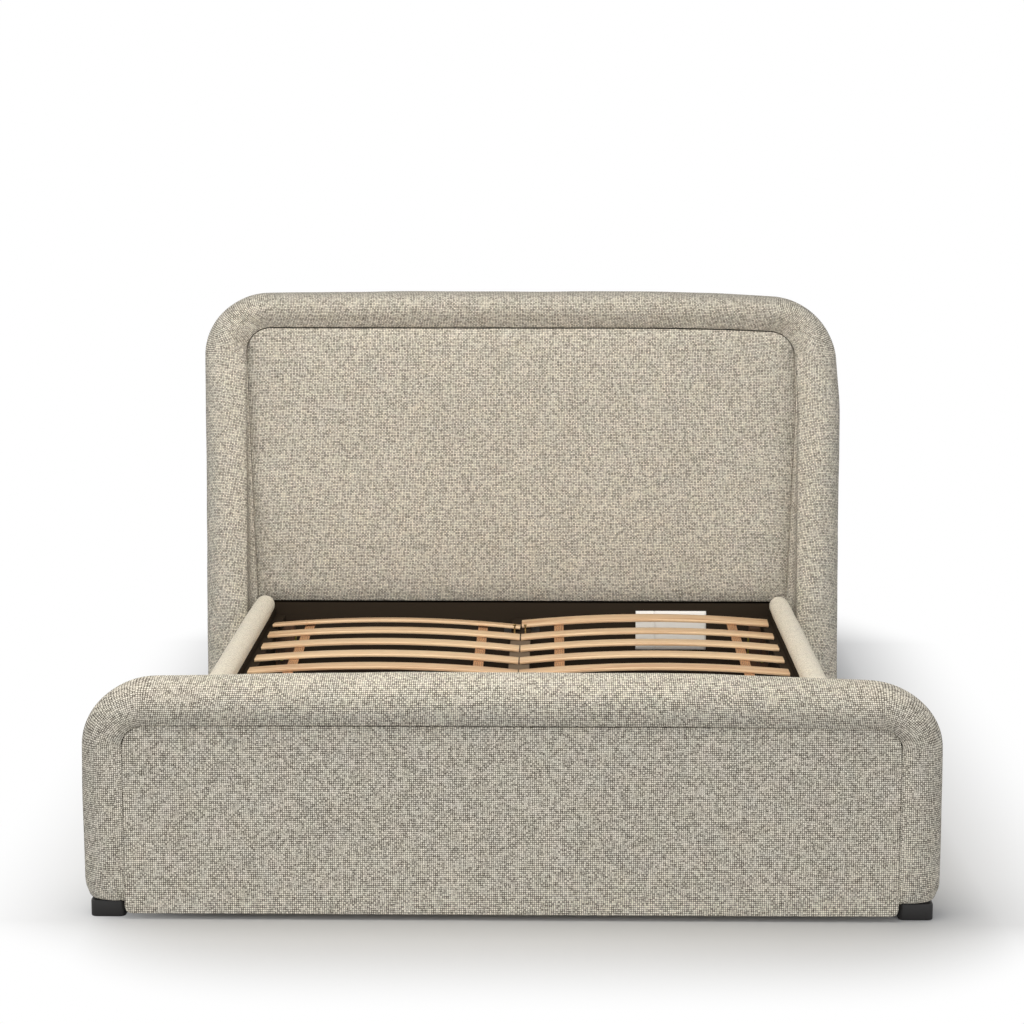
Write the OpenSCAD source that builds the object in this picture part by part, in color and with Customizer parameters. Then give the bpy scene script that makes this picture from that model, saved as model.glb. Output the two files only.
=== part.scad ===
// Upholstered sleigh bed: a tall headboard with swept wings, a low rolled footboard, padded side
// rails, and two lift-out sets of sprung slats that meet on a centre beam.
// +X is the right of the bed seen from its foot, +Y points to the head, and the floor is z = 0.

/* [Mattress well] */
// Clear width between the padded rails
well_w = 1564; // [1500:1:1600]
// Clear length between footboard and headboard
well_l = 2050; // [1900:1:2150]

/* [Head and foot shared] */
// How far the headboard and the footboard reach past the well on each side
ends_over = 223; // [205:1:250]
// Distance from the mattress well to the outside of each end
ends_t = 140; // [130:1:160]
// Height of the block feet under the borders
feet_h = 40; // [25:1:60]
// Thickness of the plywood core boards
core_t = 18; // [12:1:24]
// Distance from the mattress well to the core boards
core_gap = 61; // [50:1:64]
// How far the padded borders wrap over the core boards
core_wrap = 62; // [30:1:75]
// How far the borders round in at their lower ends
hem_in = 16; // [5:1:26]
// Height over which they round in
hem_rise = 60; // [20:1:90]
// Bulge in the middle of each border's top line
top_crown = 7; // [0:1:15]

/* [Headboard] */
// Height of the headboard
head_h = 1322; // [1100:1:1450]
// Width of the border at the sides
head_side = 135; // [115:1:150]
// Width of the border along the top
head_top = 107; // [90:1:130]
// Outer corner radius
head_r = 200; // [150:1:240]
// Corner radius of the crease round the panel
head_crease_r = 80; // [50:1:110]
// Depth of the border at the top
head_depth = 145; // [130:1:165]
// How much deeper the wings grow towards the floor
wing_sweep = 105; // [40:1:120]
// How far the panel leans back from its lower edge to its top
panel_lean = 12; // [0:1:20]
// Height of the panel's lower edge
panel_low = 335; // [328:1:340]
// Thickness of the board that closes the back
back_t = 4; // [3:1:8]
// Side of the square posts behind the core board
post_w = 56; // [40:1:60]

/* [Footboard] */
// Height of the footboard
foot_h = 580; // [520:1:700]
// Width of the border at the sides
foot_side = 101; // [90:1:125]
// Width of the border along the top
foot_top = 113; // [90:1:130]
// Outer corner radius
foot_r = 175; // [140:1:200]
// Corner radius of the seam round the panel
foot_crease_r = 55; // [35:1:80]
// How far the front panel sits behind the roll above it
panel_set = 11; // [6:1:20]
// How far the border's sides sit behind the roll
side_set = 5; // [0:1:6]
// Height of the front panel above the floor
panel_clear = 12; // [8:1:22]

/* [Side rails] */
// Height of the rail's rolled top
rail_h = 370; // [350:1:400]
// Height of the rail's lower edge
rail_low = 80; // [60:1:120]
// Radius of the padded roll
roll_r = 32; // [28:1:36]
// Thickness of the rail board
rail_t = 30; // [22:1:34]
// Length of rail at the head that the padded roll leaves bare
roll_short = 24; // [24:1:80]
// Thickness of the black lining
lining_t = 4; // [2:1:6]
// Width and height of the ledge that the slats lie on
ledge_w = 30; // [22:1:40]
ledge_h = 25; // [18:1:35]

/* [Slats] */
// Width of a slat
slat_w = 64; // [50:1:75]
// Thickness of a slat
slat_t = 9; // [8:1:14]
// Rise of a slat from its ends to its middle
slat_bow = 19; // [8:1:22]
// Height of the ledges that the slats' outer ends lie on
deck_z = 292; // [288:1:305]
// How much lower their inner ends lie, on the beam's felt
beam_drop = 4.5; // [0:0.5:8]
// Slats on each side
slat_count = 11; // [9:1:11]
// Distance from one slat to the next
slat_pitch = 169; // [120:1:175]
// Gap between the headboard and the nominal first slat
slat_start = 127; // [100:1:150]
// How far the first slat on each side is off its nominal place
first_left = -27; // [-60:1:0]
first_right = 21; // [0:1:60]
// Degrees that the first slats are twisted, the left one forwards and the right one back
first_twist = 5; // [0:0.5:6]
// Gap between the slats and the rail linings
slat_end_gap = 14; // [10:1:20]
// Gap between the left and right slats over the beam
middle_gap = 5; // [3:1:12]
// Width of the webbing under the slats
tape_w = 30; // [20:1:40]
// Thickness of the webbing
tape_t = 1.6; // [1:0.1:3]
// Place of the webbing along a slat, as a share of its length
tape_at = 0.15; // [0.1:0.01:0.25]
// Distance from the end of the webbing to the edge of the last slat
tape_short = 6; // [2:1:20]

/* [Centre beam] */
// Width of the beam
beam_w = 60; // [50:1:80]
// Height of the beam without its felt
beam_h = 40; // [30:1:60]
// Thickness of the felt on the beam
felt_t = 2; // [1:0.5:4]
// Length of beam at the head that the felt leaves bare
felt_short = 292; // [250:1:320]
// Thickness of the steel hangers and corner angles
steel_t = 3; // [2:0.5:4]
// Distance of the centre legs from the middle of the bed
leg_y = 500; // [300:1:650]
// Diameter of the centre legs
leg_d = 38; // [32:1:50]
// Gap between a leg and its glide, which is the glide's travel and a little more
glide_gap = 14; // [10:1:20]
// Radius of the glide's stud
stud_r = 4; // [3:0.5:6]
// Length of the plate on top of a leg
leg_plate = 90; // [60:1:120]

/* [Corners] */
// Width of the timber corner blocks
block_w = 60; // [50:1:90]
// Height of the corner blocks
block_h = 125; // [115:1:170]
// Radius of the corner bolts
bolt_r = 4; // [3:0.5:5]
// Distance of the outer bolts from the block's lower and upper faces
bolt_edge = 22; // [16:1:28]
// Height between a bolt along the bed and the next one across it
bolt_step = 22; // [18:1:26]

/* [Hidden] */
fit = 0.3;                          // gap between pieces that only touch
run_gap = 0.06;                     // running gap round the glide's stud
half_well = well_l / 2;
ends_w = well_w + 2 * ends_over;
head_back = half_well + ends_t;
foot_front = -head_back;
core_y = half_well + core_gap;
cross_set = 5;                      // the cross rails lie this far behind the well's ends
cross_y = half_well + cross_set;
rail_drop = 20;                     // they reach this far below the side rails
rail_fit = 2;                       // and stop this far below the panels
roll_z = rail_h - roll_r;
board_top = roll_z - 22;            // the roll wraps over the board's top edge
roll_x = well_w / 2 + roll_r;
rail_out = roll_x + roll_r;
lining_x = well_w / 2 + cross_set;
board_x = lining_x + lining_t;
ledge_x = lining_x - ledge_w;
slat_out = lining_x - slat_end_gap;
slat_in = middle_gap / 2;
slat_l = slat_out - slat_in;
slat_arc_r = (slat_l * slat_l / 4 + slat_bow * slat_bow) / (2 * slat_bow);
felt_top = deck_z - beam_drop;
beam_top = felt_top - felt_t;
beam_low = beam_top - beam_h;
hanger_y = cross_y - steel_t;
foot_size = [82, 80];               // block feet, along X and Y
foot_gap = 2;                       // between a foot and the front panel's lower edge
foot_x = ends_w / 2 - foot_side + foot_gap + foot_size[0] / 2;
pad_d = 44;                         // glide pad
pad_h = 8;
leg_low = pad_h + glide_gap;
stud_top = leg_low + 40;
block_top = deck_z - ledge_h;
bolt_head = 5.3;
bolt_in = 28;                       // length of the bolts beyond the blocks and angles
screw_r = 2.5;
screw_in = 22;                      // length of the hanger screws in the cross rails
hole_gap = 0.1;                     // clearance round bolts and screws
angle_w = 58;                       // leg of the corner angles along the rail
hem_steps = [0, 0.12, 0.35, 0.65, 1];
leg_steps = 8;
arc_steps = 9;
top_steps = 8;
$fn = 48;

// ---------- shared shapes ----------

// Skin over rings with the same number of points, closed by its first and last ring.
module loft(rings) {
    n = len(rings[0]);
    m = len(rings);
    sides = [for (i = [0:m - 2], j = [0:n - 1])
        let (k = (j + 1) % n)
        each [[i * n + j, (i + 1) * n + j, i * n + k],
              [i * n + k, (i + 1) * n + j, (i + 1) * n + k]]];
    first = [for (j = [0:n - 1]) j];
    last = [for (j = [n - 1:-1:0]) (m - 1) * n + j];
    polyhedron([for (r = rings) each r], concat(sides, [first, last]), convexity = 8);
}

// Stations round an upside-down U from the left foot to the right foot. Each is the outer point,
// the point on the crease and the height that sets the depth there.
function u_path(h, side, top, r, crease_r) =
    let (x = ends_w / 2, z0 = feet_h, legs = leg_steps, arcs = arc_steps,
         z1 = z0 + hem_rise,
         half = concat(
            [for (k = hem_steps) [[x, z0 + hem_rise * k], [x - side, z0 + hem_rise * k]]],
            [for (k = [1:legs])
                [[x, z1 + (h - r - z1) * k / legs],
                 [x - side, z1 + (h - top - crease_r - z1) * k / legs]]],
            [for (k = [1:arcs]) let (a = 90 * k / arcs)
                [[x - r + r * cos(a), h - r + r * sin(a) - crown(x - r + r * cos(a), a)],
                 [x - side - crease_r + crease_r * cos(a), h - top - crease_r + crease_r * sin(a)]]],
            [for (k = [1:top_steps / 2]) let (s = 1 - 2 * k / top_steps)
                [[(x - r) * s, h - crown((x - r) * s, 90)], [(x - side - crease_r) * s, h - top]]]),
         n = len(half))
    concat([for (p = half) [[-p[0][0], p[0][1]], [-p[1][0], p[1][1]]]],
           [for (i = [n - 2:-1:0]) half[i]]);
function crown(x, a) = top_crown * pow(2 * x / ends_w, 2) * sin(a);

// How far a border's section is drawn in at station i of n.
function hem_at(i, n) =
    let (k = min(i, n - 1 - i))
    k < len(hem_steps) ? hem_in * (1 - sqrt(1 - pow(1 - hem_steps[k], 2))) : 0;

// Turns a section of [distance out from the crease, y] into a ring at a station.
function ring_at(station, section) =
    let (out = station[0], crease = station[1], way = (out - crease) / norm(out - crease))
    [for (p = section) [crease[0] + way[0] * p[0], p[1], crease[1] + way[1] * p[0]]];

// Quarter ellipse from [a, 0] offsets, used for every padded edge.
function quarter(steps, from = 0, to = 90) = [for (k = [0:steps]) from + (to - from) * k / steps];

// Outline of a panel inside a crease, drawn in by d. Its lower corners have the radius low_r,
// and sides gives extra points up each side, where narrow(z) draws the outline in.
function panel_outline(half_w, z_low, z_top, r, d, low_r = 0, sides = 0, narrow = function (z) 0) =
    let (x = half_w - d, z1 = z_top - d, q = max(r - d, 6),
         right = concat(
            low_r > 0 ? [for (a = quarter(4)) [x - low_r + low_r * sin(a), z_low + low_r * (1 - cos(a))]]
                      : [[x - narrow(z_low), z_low]],
            [for (k = [1:1:sides]) let (z = z_low + (z1 - q - z_low) * k / (sides + 1)) [x - narrow(z), z]],
            [for (a = quarter(8)) let (z = z1 - q + q * sin(a)) [x - q + q * cos(a) - narrow(z), z]]))
    concat(right, [for (i = [len(right) - 1:-1:0]) [-right[i][0], right[i][1]]]);

// Cushioned panel between two depths. Each layer is [inset, height of its lower edge, y, lean].
module padded_panel(half_w, z_top, r, layers, low_r = 0, sides = 0, narrow = function (z) 0) {
    loft([for (l = layers)
        [for (p = panel_outline(half_w, l[1], z_top, r, l[0], low_r, sides, narrow))
            [p[0], l[2] + l[3] * (p[1] - l[1]) / (z_top - l[1]), p[1]]]]);
}

module box(low, high) {
    translate(low) cube(high - low);
}

// Copies for the left side, which mirrors the right one.
module on_side(side) {
    mirror([side == "left" ? 1 : 0, 0, 0]) children();
}

// Block with round upright edges, standing on z = 0.
module round_block(size, h, r) {
    for (turn = [0, 1])
        translate([-size[0] / 2 + r * turn, -size[1] / 2 + r * (1 - turn), 0])
            cube([size[0] - 2 * r * turn, size[1] - 2 * r * (1 - turn), h]);
    for (sx = [-1, 1], sy = [-1, 1])
        translate([sx * (size[0] / 2 - r), sy * (size[1] / 2 - r), 0]) cylinder(r = r, h = h);
}

// ---------- headboard ----------

lip_drop = 24;                      // the border curls in by this much at the crease
wall_flare = 0.45;                  // slope of the wing's inner wall
panel_crown = 8;                    // the panel's middle swells this far forward
crown_in = 260;                     // over this distance from its edge
seat_in = 10;                       // the crease's bottom lies this far behind the panel's face
side_round = 70;                    // depth over which the border rounds to its outer side
back_r = 20;                        // radius of the border's rear edge

function head_path() = u_path(head_h, head_side, head_top, head_r, head_crease_r);
function wing_front(z) = head_back - head_depth - wing_sweep * pow(max(0, 1 - z / head_h), 1.15);
function panel_face(z) = half_well + panel_lean * max(0, z - panel_low) / (head_h - head_top - panel_low);
function wing_wall(z) = wall_flare * max(0, panel_face(z) - wing_front(z) - lip_drop);

// Section of the headboard border at a station whose lower edge is drawn in by hem.
function head_section(w, z, hem) =
    let (front = wing_front(z) + hem, peak = 0.45 * w, out = w - hem, core_b = core_y + core_t)
    concat([[-wing_wall(z), core_y], [-wing_wall(z), panel_face(z) + seat_in]],
           [for (a = quarter(5)) [peak - peak * cos(a), front + lip_drop * (1 - sin(a))]],
           [for (a = quarter(6, 75, 0)) [peak + (out - peak) * cos(a), front + side_round * (1 - sin(a))]],
           [for (a = quarter(3)) [out - back_r * (1 - cos(a)), head_back - back_r * (1 - sin(a))]],
           [[0, head_back], [0, core_b], [core_wrap, core_b], [core_wrap, core_y]]);

module headboard_border() {
    path = head_path();
    color("#b9b0a0")
        loft([for (i = [0:len(path) - 1])
            let (s = path[i], w = norm(s[0] - s[1]))
            ring_at(s, head_section(w, s[1][1], hem_at(i, len(path))))]);
}

// Outline of a core board that fills the groove inside a border, less the fit.
module core_outline(path, wrap) {
    polygon([for (s = path)
        let (w = norm(s[0] - s[1]), d = wrap - fit) s[1] + (s[0] - s[1]) / w * d]);
}

module headboard_core() {
    color("#c79a62")
        translate([0, core_y + core_t - fit, 0]) rotate([90, 0, 0])
            linear_extrude(core_t - 2 * fit) core_outline(head_path(), core_wrap);
}

// The panel narrows towards its foot, where the wings' inner walls come in behind their lips.
module headboard_panel() {
    color("#c2b9a8")
        padded_panel(ends_w / 2 - head_side - fit, head_h - head_top - fit, head_crease_r, [
            [0, panel_low + 6, core_y, 0],
            [0, panel_low + 2, half_well + 26, panel_lean * 0.6],
            [3, panel_low, half_well + 13, panel_lean],
            [12, panel_low + 1, half_well + 4, panel_lean],
            [28, panel_low + 6, half_well, panel_lean],
            [crown_in * 0.4, panel_low + 50, half_well - panel_crown * 0.5, panel_lean],
            [crown_in, panel_low + 180, half_well - panel_crown, panel_lean]],
            sides = 5, narrow = function (z) wing_wall(z));
}

module headboard_back() {
    color("#8f8778")
        translate([0, head_back, 0]) rotate([90, 0, 0]) linear_extrude(back_t)
            polygon(panel_outline(ends_w / 2 - head_side, feet_h, head_h - head_top, head_crease_r, fit));
}

module headboard_post(side) {
    x1 = ends_w / 2 - head_side - fit;
    color("#d3ae78")
        on_side(side)
            box([x1 - post_w, core_y + core_t, feet_h],
                [x1, head_back - back_t, head_h - head_top - head_crease_r]);
}

// Black-faced rail between the borders that carries the beam and the corner bolts.
module cross_rail(half_w) {
    difference() {
        box([-half_w, cross_y, rail_low - rail_drop], [half_w, core_y, panel_low - rail_fit]);
        for (side = ["left", "right"]) on_side(side) bolts_along_y(bolt_r + hole_gap, bolt_in + 2);
        hanger_screw_shanks(screw_r + hole_gap, screw_in + 2);
    }
}

module headboard_cross_rail() {
    color("#2b2724") cross_rail(ends_w / 2 - head_side - wing_wall(rail_low - rail_drop) - fit);
}

module headboard_feet() {
    color("#1b1b1c")
        for (side = ["left", "right"])
            on_side(side) translate([foot_x, head_back - foot_size[1] / 2 - 25, 0])
                round_block(foot_size, feet_h, 14);
}

// ---------- footboard ----------

skirt_r = 20;                       // lower corners of the front panel
seam_open = 1;                      // the seams round the panels open this much at the face

function foot_path() = u_path(foot_h, foot_side, foot_top, foot_r, foot_crease_r);

// Section of the footboard border: a full roll over the core board. up runs from 0 at the sides,
// which are flatter, to 1 along the top.
function foot_section(w, hem, up) =
    let (t = ends_t / 2, mid = foot_front + t, out = w - hem, core_f = -core_y - core_t,
         set = side_set * (1 - up), peak = w * (0.2 + 0.14 * up), front = foot_front + hem + set)
    concat([[0, core_f], [seam_open, foot_front + hem + panel_set + 3]],
           [for (a = quarter(4, 15, 90)) [peak - peak * cos(a), front + (panel_set - set) * (1 - sin(a))]],
           [for (a = quarter(6, 75, 0)) [peak + (out - peak) * cos(a), mid - (mid - front) * sin(a)]],
           [for (a = quarter(6, 15, 90)) [peak + (out - peak) * cos(a), mid + (t - hem) * sin(a)]],
           [[seam_open, -half_well - hem], [0, -core_y], [core_wrap, -core_y], [core_wrap, core_f]]);

module footboard_border() {
    path = foot_path();
    color("#aaa294")
        loft([for (i = [0:len(path) - 1])
            let (s = path[i], w = norm(s[0] - s[1]))
            ring_at(s, foot_section(w, hem_at(i, len(path)), (s[0][1] - s[1][1]) / w))]);
}

module footboard_core() {
    color("#c79a62")
        translate([0, -core_y - fit, 0]) rotate([90, 0, 0])
            linear_extrude(core_t - 2 * fit) core_outline(foot_path(), core_wrap);
}

// The front panel hangs below the border, between the feet.
module footboard_front_panel() {
    face = ends_t + half_well - panel_set;
    color("#a59d8f")
        mirror([0, 1, 0])
            padded_panel(ends_w / 2 - foot_side - fit, foot_h - foot_top - fit, foot_crease_r, [
                [0, panel_clear + 3, core_y + core_t, 0],
                [0, panel_clear + 1, face - 9, 0],
                [1.5, panel_clear, face - 4, 0],
                [7, panel_clear + 2, face, 0]], low_r = skirt_r);
}

module footboard_inner_panel() {
    color("#aaa294")
        padded_panel(ends_w / 2 - foot_side - fit, foot_h - foot_top - fit, foot_crease_r, [
            [0, panel_low, -core_y, 0],
            [0, panel_low, -half_well - 7, 0],
            [2, panel_low + 2, -half_well - 2, 0],
            [7, panel_low + 6, -half_well, 0]]);
}

module footboard_cross_rail() {
    color("#2b2724") mirror([0, 1, 0]) cross_rail(ends_w / 2 - foot_side - fit);
}

module footboard_foot(side) {
    color("#1b1b1c")
        on_side(side) translate([foot_x, foot_front + ends_t / 2, 0]) round_block(foot_size, feet_h, 14);
}

// ---------- side rails ----------

// Padded outside of a rail with its roll, as one section in X and Z, less the board's space.
module rail_section() {
    difference() {
        union() {
            translate([roll_x, roll_z]) circle(r = roll_r, $fn = 64);
            translate([roll_x, rail_low]) square([roll_r, roll_z - rail_low]);
        }
        translate([roll_x - 2 * roll_r, rail_low - 1])
            square([board_x + rail_t - roll_x + 2 * roll_r, board_top - rail_low + 1]);
    }
}

module along_y(from, to) {
    translate([0, to, 0]) rotate([90, 0, 0]) linear_extrude(to - from) children();
}

// The roll stops short of the headboard in a round nose.
module rail_cover(side) {
    end = half_well - roll_short;
    color("#cfc7b6")
        on_side(side) difference() {
            union() {
                along_y(-half_well, end - roll_r) rail_section();
                translate([roll_x, end - roll_r, roll_z]) sphere(r = roll_r, $fn = 64);
                box([board_x + rail_t, end - roll_r, rail_low], [rail_out, end, roll_z]);
            }
            box([roll_x - 2 * roll_r, end - 2 * roll_r - 1, 0], [board_x + rail_t, end + 1, board_top]);
        }
}

module rail_board(side) {
    color("#2f2a26")
        on_side(side) difference() {
            box([board_x, -cross_y, rail_low], [board_x + rail_t, cross_y, board_top]);
            mirrored_ends() bolts_along_x(bolt_r + hole_gap, bolt_in);
        }
}

module rail_lining(side) {
    color("#2b2724")
        on_side(side) difference() {
            box([lining_x, -cross_y, rail_low], [board_x, cross_y, board_top]);
            mirrored_ends() bolts_along_x(bolt_r + hole_gap, bolt_in);
        }
}

module slat_ledge(side) {
    color("#39322d")
        on_side(side)
            box([ledge_x, -cross_y, deck_z - ledge_h], [lining_x, cross_y, deck_z]);
}

// ---------- corners ----------

module mirrored_ends() {
    children();
    mirror([0, 1, 0]) children();
}

module in_each_corner() {
    for (side = ["left", "right"]) on_side(side) mirrored_ends() children();
}

// Bolt places in the right head corner: heights above the block's foot.
function bolt_zs_y() = [block_top - block_h + bolt_edge, block_top - bolt_edge];
function bolt_zs_x() = [for (z = bolt_zs_y()) z + (z < block_top - block_h / 2 ? 1 : -1) * bolt_step];
bolt_y_x = lining_x - steel_t - block_w / 3;    // x of the bolts along y
bolt_x_y = cross_y - steel_t - block_w / 2;     // y of the bolts along x

module bolts_along_y(r, depth) {
    for (z = bolt_zs_y())
        translate([bolt_y_x, block_near(cross_y), z]) rotate([-90, 0, 0])
            cylinder(r = r, h = block_w + steel_t + depth);
}

module bolts_along_x(r, depth) {
    for (z = bolt_zs_x())
        translate([block_near(lining_x), bolt_x_y, z]) rotate([0, 90, 0])
            cylinder(r = r, h = block_w + steel_t + depth);
}

// Near face of a corner block, from the face of the wood that its angle lies on.
function block_near(face) = face - steel_t - block_w;

module corner_blocks() {
    color("#b07a45")
        in_each_corner() difference() {
            box([block_near(lining_x), block_near(cross_y), block_top - block_h],
                [lining_x - steel_t, cross_y - steel_t, block_top]);
            bolts_along_y(bolt_r + hole_gap, 0);
            bolts_along_x(bolt_r + hole_gap, 0);
        }
}

module corner_angles() {
    color("#77797c")
        in_each_corner() difference() {
            box([lining_x - angle_w, cross_y - angle_w, block_top - block_h + 10],
                [lining_x, cross_y, block_top - 8]);
            box([lining_x - angle_w - 1, cross_y - angle_w - 1, 0],
                [lining_x - steel_t, cross_y - steel_t, block_top]);
            bolts_along_y(bolt_r + hole_gap, 1);
            bolts_along_x(bolt_r + hole_gap, 1);
        }
}

module corner_bolts() {
    color("#b9b04a")
        in_each_corner() {
            bolts_along_y(bolt_r, bolt_in);
            bolts_along_x(bolt_r, bolt_in);
            for (z = bolt_zs_y())
                translate([bolt_y_x, block_near(cross_y) - bolt_head, z]) rotate([-90, 0, 0])
                    cylinder(r = bolt_r * 1.9, h = bolt_head, $fn = 6);
            for (z = bolt_zs_x())
                translate([block_near(lining_x) - bolt_head, bolt_x_y, z]) rotate([0, 90, 0])
                    cylinder(r = bolt_r * 1.9, h = bolt_head, $fn = 6);
        }
}

// ---------- centre beam and legs ----------

hanger_l = 60;                      // how far the shoe reaches under the beam
hanger_ear = 24;
hanger_wall = 20;                   // height of its walls beside the beam
hanger_drop = 20;                   // its ears reach this far below the beam
hanger_zs = [8 - hanger_drop, hanger_wall - 8];
stop_r = 2.6;
stop_rise = 30;                     // the stop screws stand this far above the felt
stop_in = 20;                       // and reach this far into the beam
stop_head_r = 5.6;
stop_xs = [-19, 14];
stop_y = half_well - slat_start - (slat_pitch + slat_w) / 2 - 13;

module centre_beam() {
    color("#2f2b28")
        difference() {
            box([-beam_w / 2, -hanger_y, beam_low], [beam_w / 2, hanger_y, beam_top]);
            stop_screw_shanks(stop_r + hole_gap, stop_in + 1);
        }
}

module beam_felt() {
    color("#77736a")
        difference() {
            box([-beam_w / 2, -hanger_y, beam_top], [beam_w / 2, hanger_y - felt_short, felt_top]);
            stop_screw_shanks(stop_r + hole_gap, 1);
        }
}

// Steel shoe screwed to the head cross rail, with the beam's end in it.
module hanger() {
    w = beam_w / 2 + steel_t;
    difference() {
        union() {
            box([-w, hanger_y - hanger_l, beam_low - steel_t], [w, hanger_y, beam_low + hanger_wall]);
            box([-w - hanger_ear, hanger_y, beam_low - hanger_drop],
                [w + hanger_ear, cross_y, beam_low + hanger_wall]);
        }
        box([-beam_w / 2, hanger_y - hanger_l - 1, beam_low], [beam_w / 2, hanger_y, beam_top]);
        hanger_screw_shanks(screw_r + hole_gap, 1);
    }
}

// Shanks of the four screws in the head hanger's ears, reaching depth into the cross rail.
module hanger_screw_shanks(r, depth) {
    for (sx = [-1, 1], dz = hanger_zs)
        translate([sx * (beam_w / 2 + steel_t + hanger_ear / 2), hanger_y - 1, beam_low + dz])
            rotate([-90, 0, 0]) cylinder(r = r, h = steel_t + 1 + depth);
}

module head_hanger() {
    color("#8d8f92") hanger();
}

module foot_hanger() {
    color("#8d8f92") mirror([0, 1, 0]) hanger();
}

module hanger_screws() {
    color("#b9b9b4")
        mirrored_ends() {
            hanger_screw_shanks(screw_r, screw_in);
            for (sx = [-1, 1], dz = hanger_zs)
                translate([sx * (beam_w / 2 + steel_t + hanger_ear / 2), hanger_y, beam_low + dz])
                    rotate([90, 0, 0]) cylinder(r1 = screw_r * 2, r2 = screw_r, h = 2.4);
        }
}

// Two brass countersunk screws stand up from the beam in the gap behind the second slats.
module stop_screw_shanks(r, depth) {
    for (x = stop_xs)
        translate([x, stop_y, beam_top - depth]) cylinder(r = r, h = depth + felt_t + stop_rise - 6);
}

module stop_screws() {
    color("#b08a4a") {
        stop_screw_shanks(stop_r, stop_in);
        for (x = stop_xs)
            translate([x, stop_y, felt_top + stop_rise - 6]) {
                cylinder(r1 = stop_r, r2 = stop_head_r, h = 5);
                translate([0, 0, 5]) cylinder(r = stop_head_r, h = 1);
            }
    }
}

module centre_leg(y) {
    color("#1f1f20")
        translate([0, y, 0]) difference() {
            union() {
                translate([0, 0, leg_low]) cylinder(d = leg_d, h = beam_low - leg_low - 4);
                translate([0, 0, beam_low - 4]) round_block([beam_w, leg_plate], 4, 8);
            }
            translate([0, 0, leg_low - 1])
                cylinder(r = stud_r + run_gap, h = stud_top + glide_gap - leg_low + 3);
        }
}

module glide(y) {
    color("#2a2a2b")
        translate([0, y, 0]) {
            cylinder(d1 = pad_d - 4, d2 = pad_d, h = 2);
            translate([0, 0, 2]) cylinder(d = pad_d, h = 3);
            translate([0, 0, 5]) cylinder(d1 = pad_d, d2 = pad_d / 2, h = pad_h - 5);
            cylinder(r = stud_r, h = stud_top);
        }
}

// ---------- slats ----------

// Centre of slat i, counted from the headboard.
function slat_y(side, i) =
    half_well - slat_start - slat_w / 2 - (i - 1) * slat_pitch
    + (i == 1 ? (side == "left" ? first_left : first_right) : 0);

// Puts children on the line that falls from a ledge to the beam, with x from its middle.
module on_slat_line(side) {
    on_side(side)
        translate([(slat_in + slat_out) / 2, 0, deck_z - beam_drop / 2])
            rotate([0, -asin(beam_drop / slat_l), 0]) children();
}

// A sprung slat: a strip of an arch that stands on its two lower corners, or on one where it is
// twisted.
module slat(side, i) {
    r_low = slat_arc_r;
    r_top = r_low + slat_t;
    sink = r_low - slat_bow;
    twist = i > 1 ? 0 : side == "left" ? -first_twist : first_twist;
    edge = twist < 0 ? slat_w / 2 : -slat_w / 2;
    color("#e2bd90")
        on_slat_line(side)
            translate([0, slat_y(side, i) + edge, 0]) rotate([twist, 0, 0])
                translate([0, slat_w / 2 - edge, -sink]) rotate([90, 0, 0])
                    linear_extrude(slat_w) intersection() {
                        difference() {
                            circle(r = r_top, $fn = 720);
                            circle(r = r_low, $fn = 720);
                        }
                        translate([-slat_l / 2, sink - 1]) square([slat_l, slat_bow + slat_t + 2]);
                    }
}

// Height of the slats' underside at a distance from their middle, and its slope there.
function slat_under(d) = sqrt(slat_arc_r * slat_arc_r - d * d) - (slat_arc_r - slat_bow);
function slat_tilt(d) = asin(d / slat_arc_r);

// Two webbing tapes under the slats of one side, from the first slat to the last.
module webbing(side) {
    y0 = slat_y(side, slat_count) - slat_w / 2 + tape_short;
    y1 = slat_y(side, 1) + slat_w / 2 - tape_short;
    color("#cf9a62")
        on_slat_line(side)
            for (share = [tape_at, 1 - tape_at]) let (d = (share - 0.5) * slat_l)
                translate([d, 0, slat_under(d)]) rotate([0, slat_tilt(d), 0])
                    box([-tape_w / 2, y0, -tape_t - fit], [tape_w / 2, y1, -fit]);
}

// ---------- what is drawn ----------

headboard_core();
headboard_border();
headboard_panel();
headboard_back();
headboard_cross_rail();
headboard_post("left");  // headboard_post_left
headboard_post("right");  // headboard_post_right
headboard_feet();
footboard_core();
footboard_border();
footboard_front_panel();
footboard_inner_panel();
footboard_cross_rail();
footboard_foot("left");  // footboard_foot_left
footboard_foot("right");  // footboard_foot_right
rail_board("left");  // rail_board_left
rail_board("right");  // rail_board_right
rail_cover("left");  // rail_cover_left
rail_cover("right");  // rail_cover_right
rail_lining("left");  // rail_lining_left
rail_lining("right");  // rail_lining_right
slat_ledge("left");  // slat_ledge_left
slat_ledge("right");  // slat_ledge_right
corner_blocks();
corner_angles();
corner_bolts();
centre_beam();
beam_felt();
head_hanger();
foot_hanger();
hanger_screws();
stop_screws();
centre_leg(leg_y);  // centre_leg_head
centre_leg(-leg_y);  // centre_leg_foot
glide(leg_y);  // glide_head
glide(-leg_y);  // glide_foot
for (side = ["left", "right"], i = [1:slat_count])
    slat(side, i);
webbing("left");  // webbing_left
webbing("right");  // webbing_right
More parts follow.
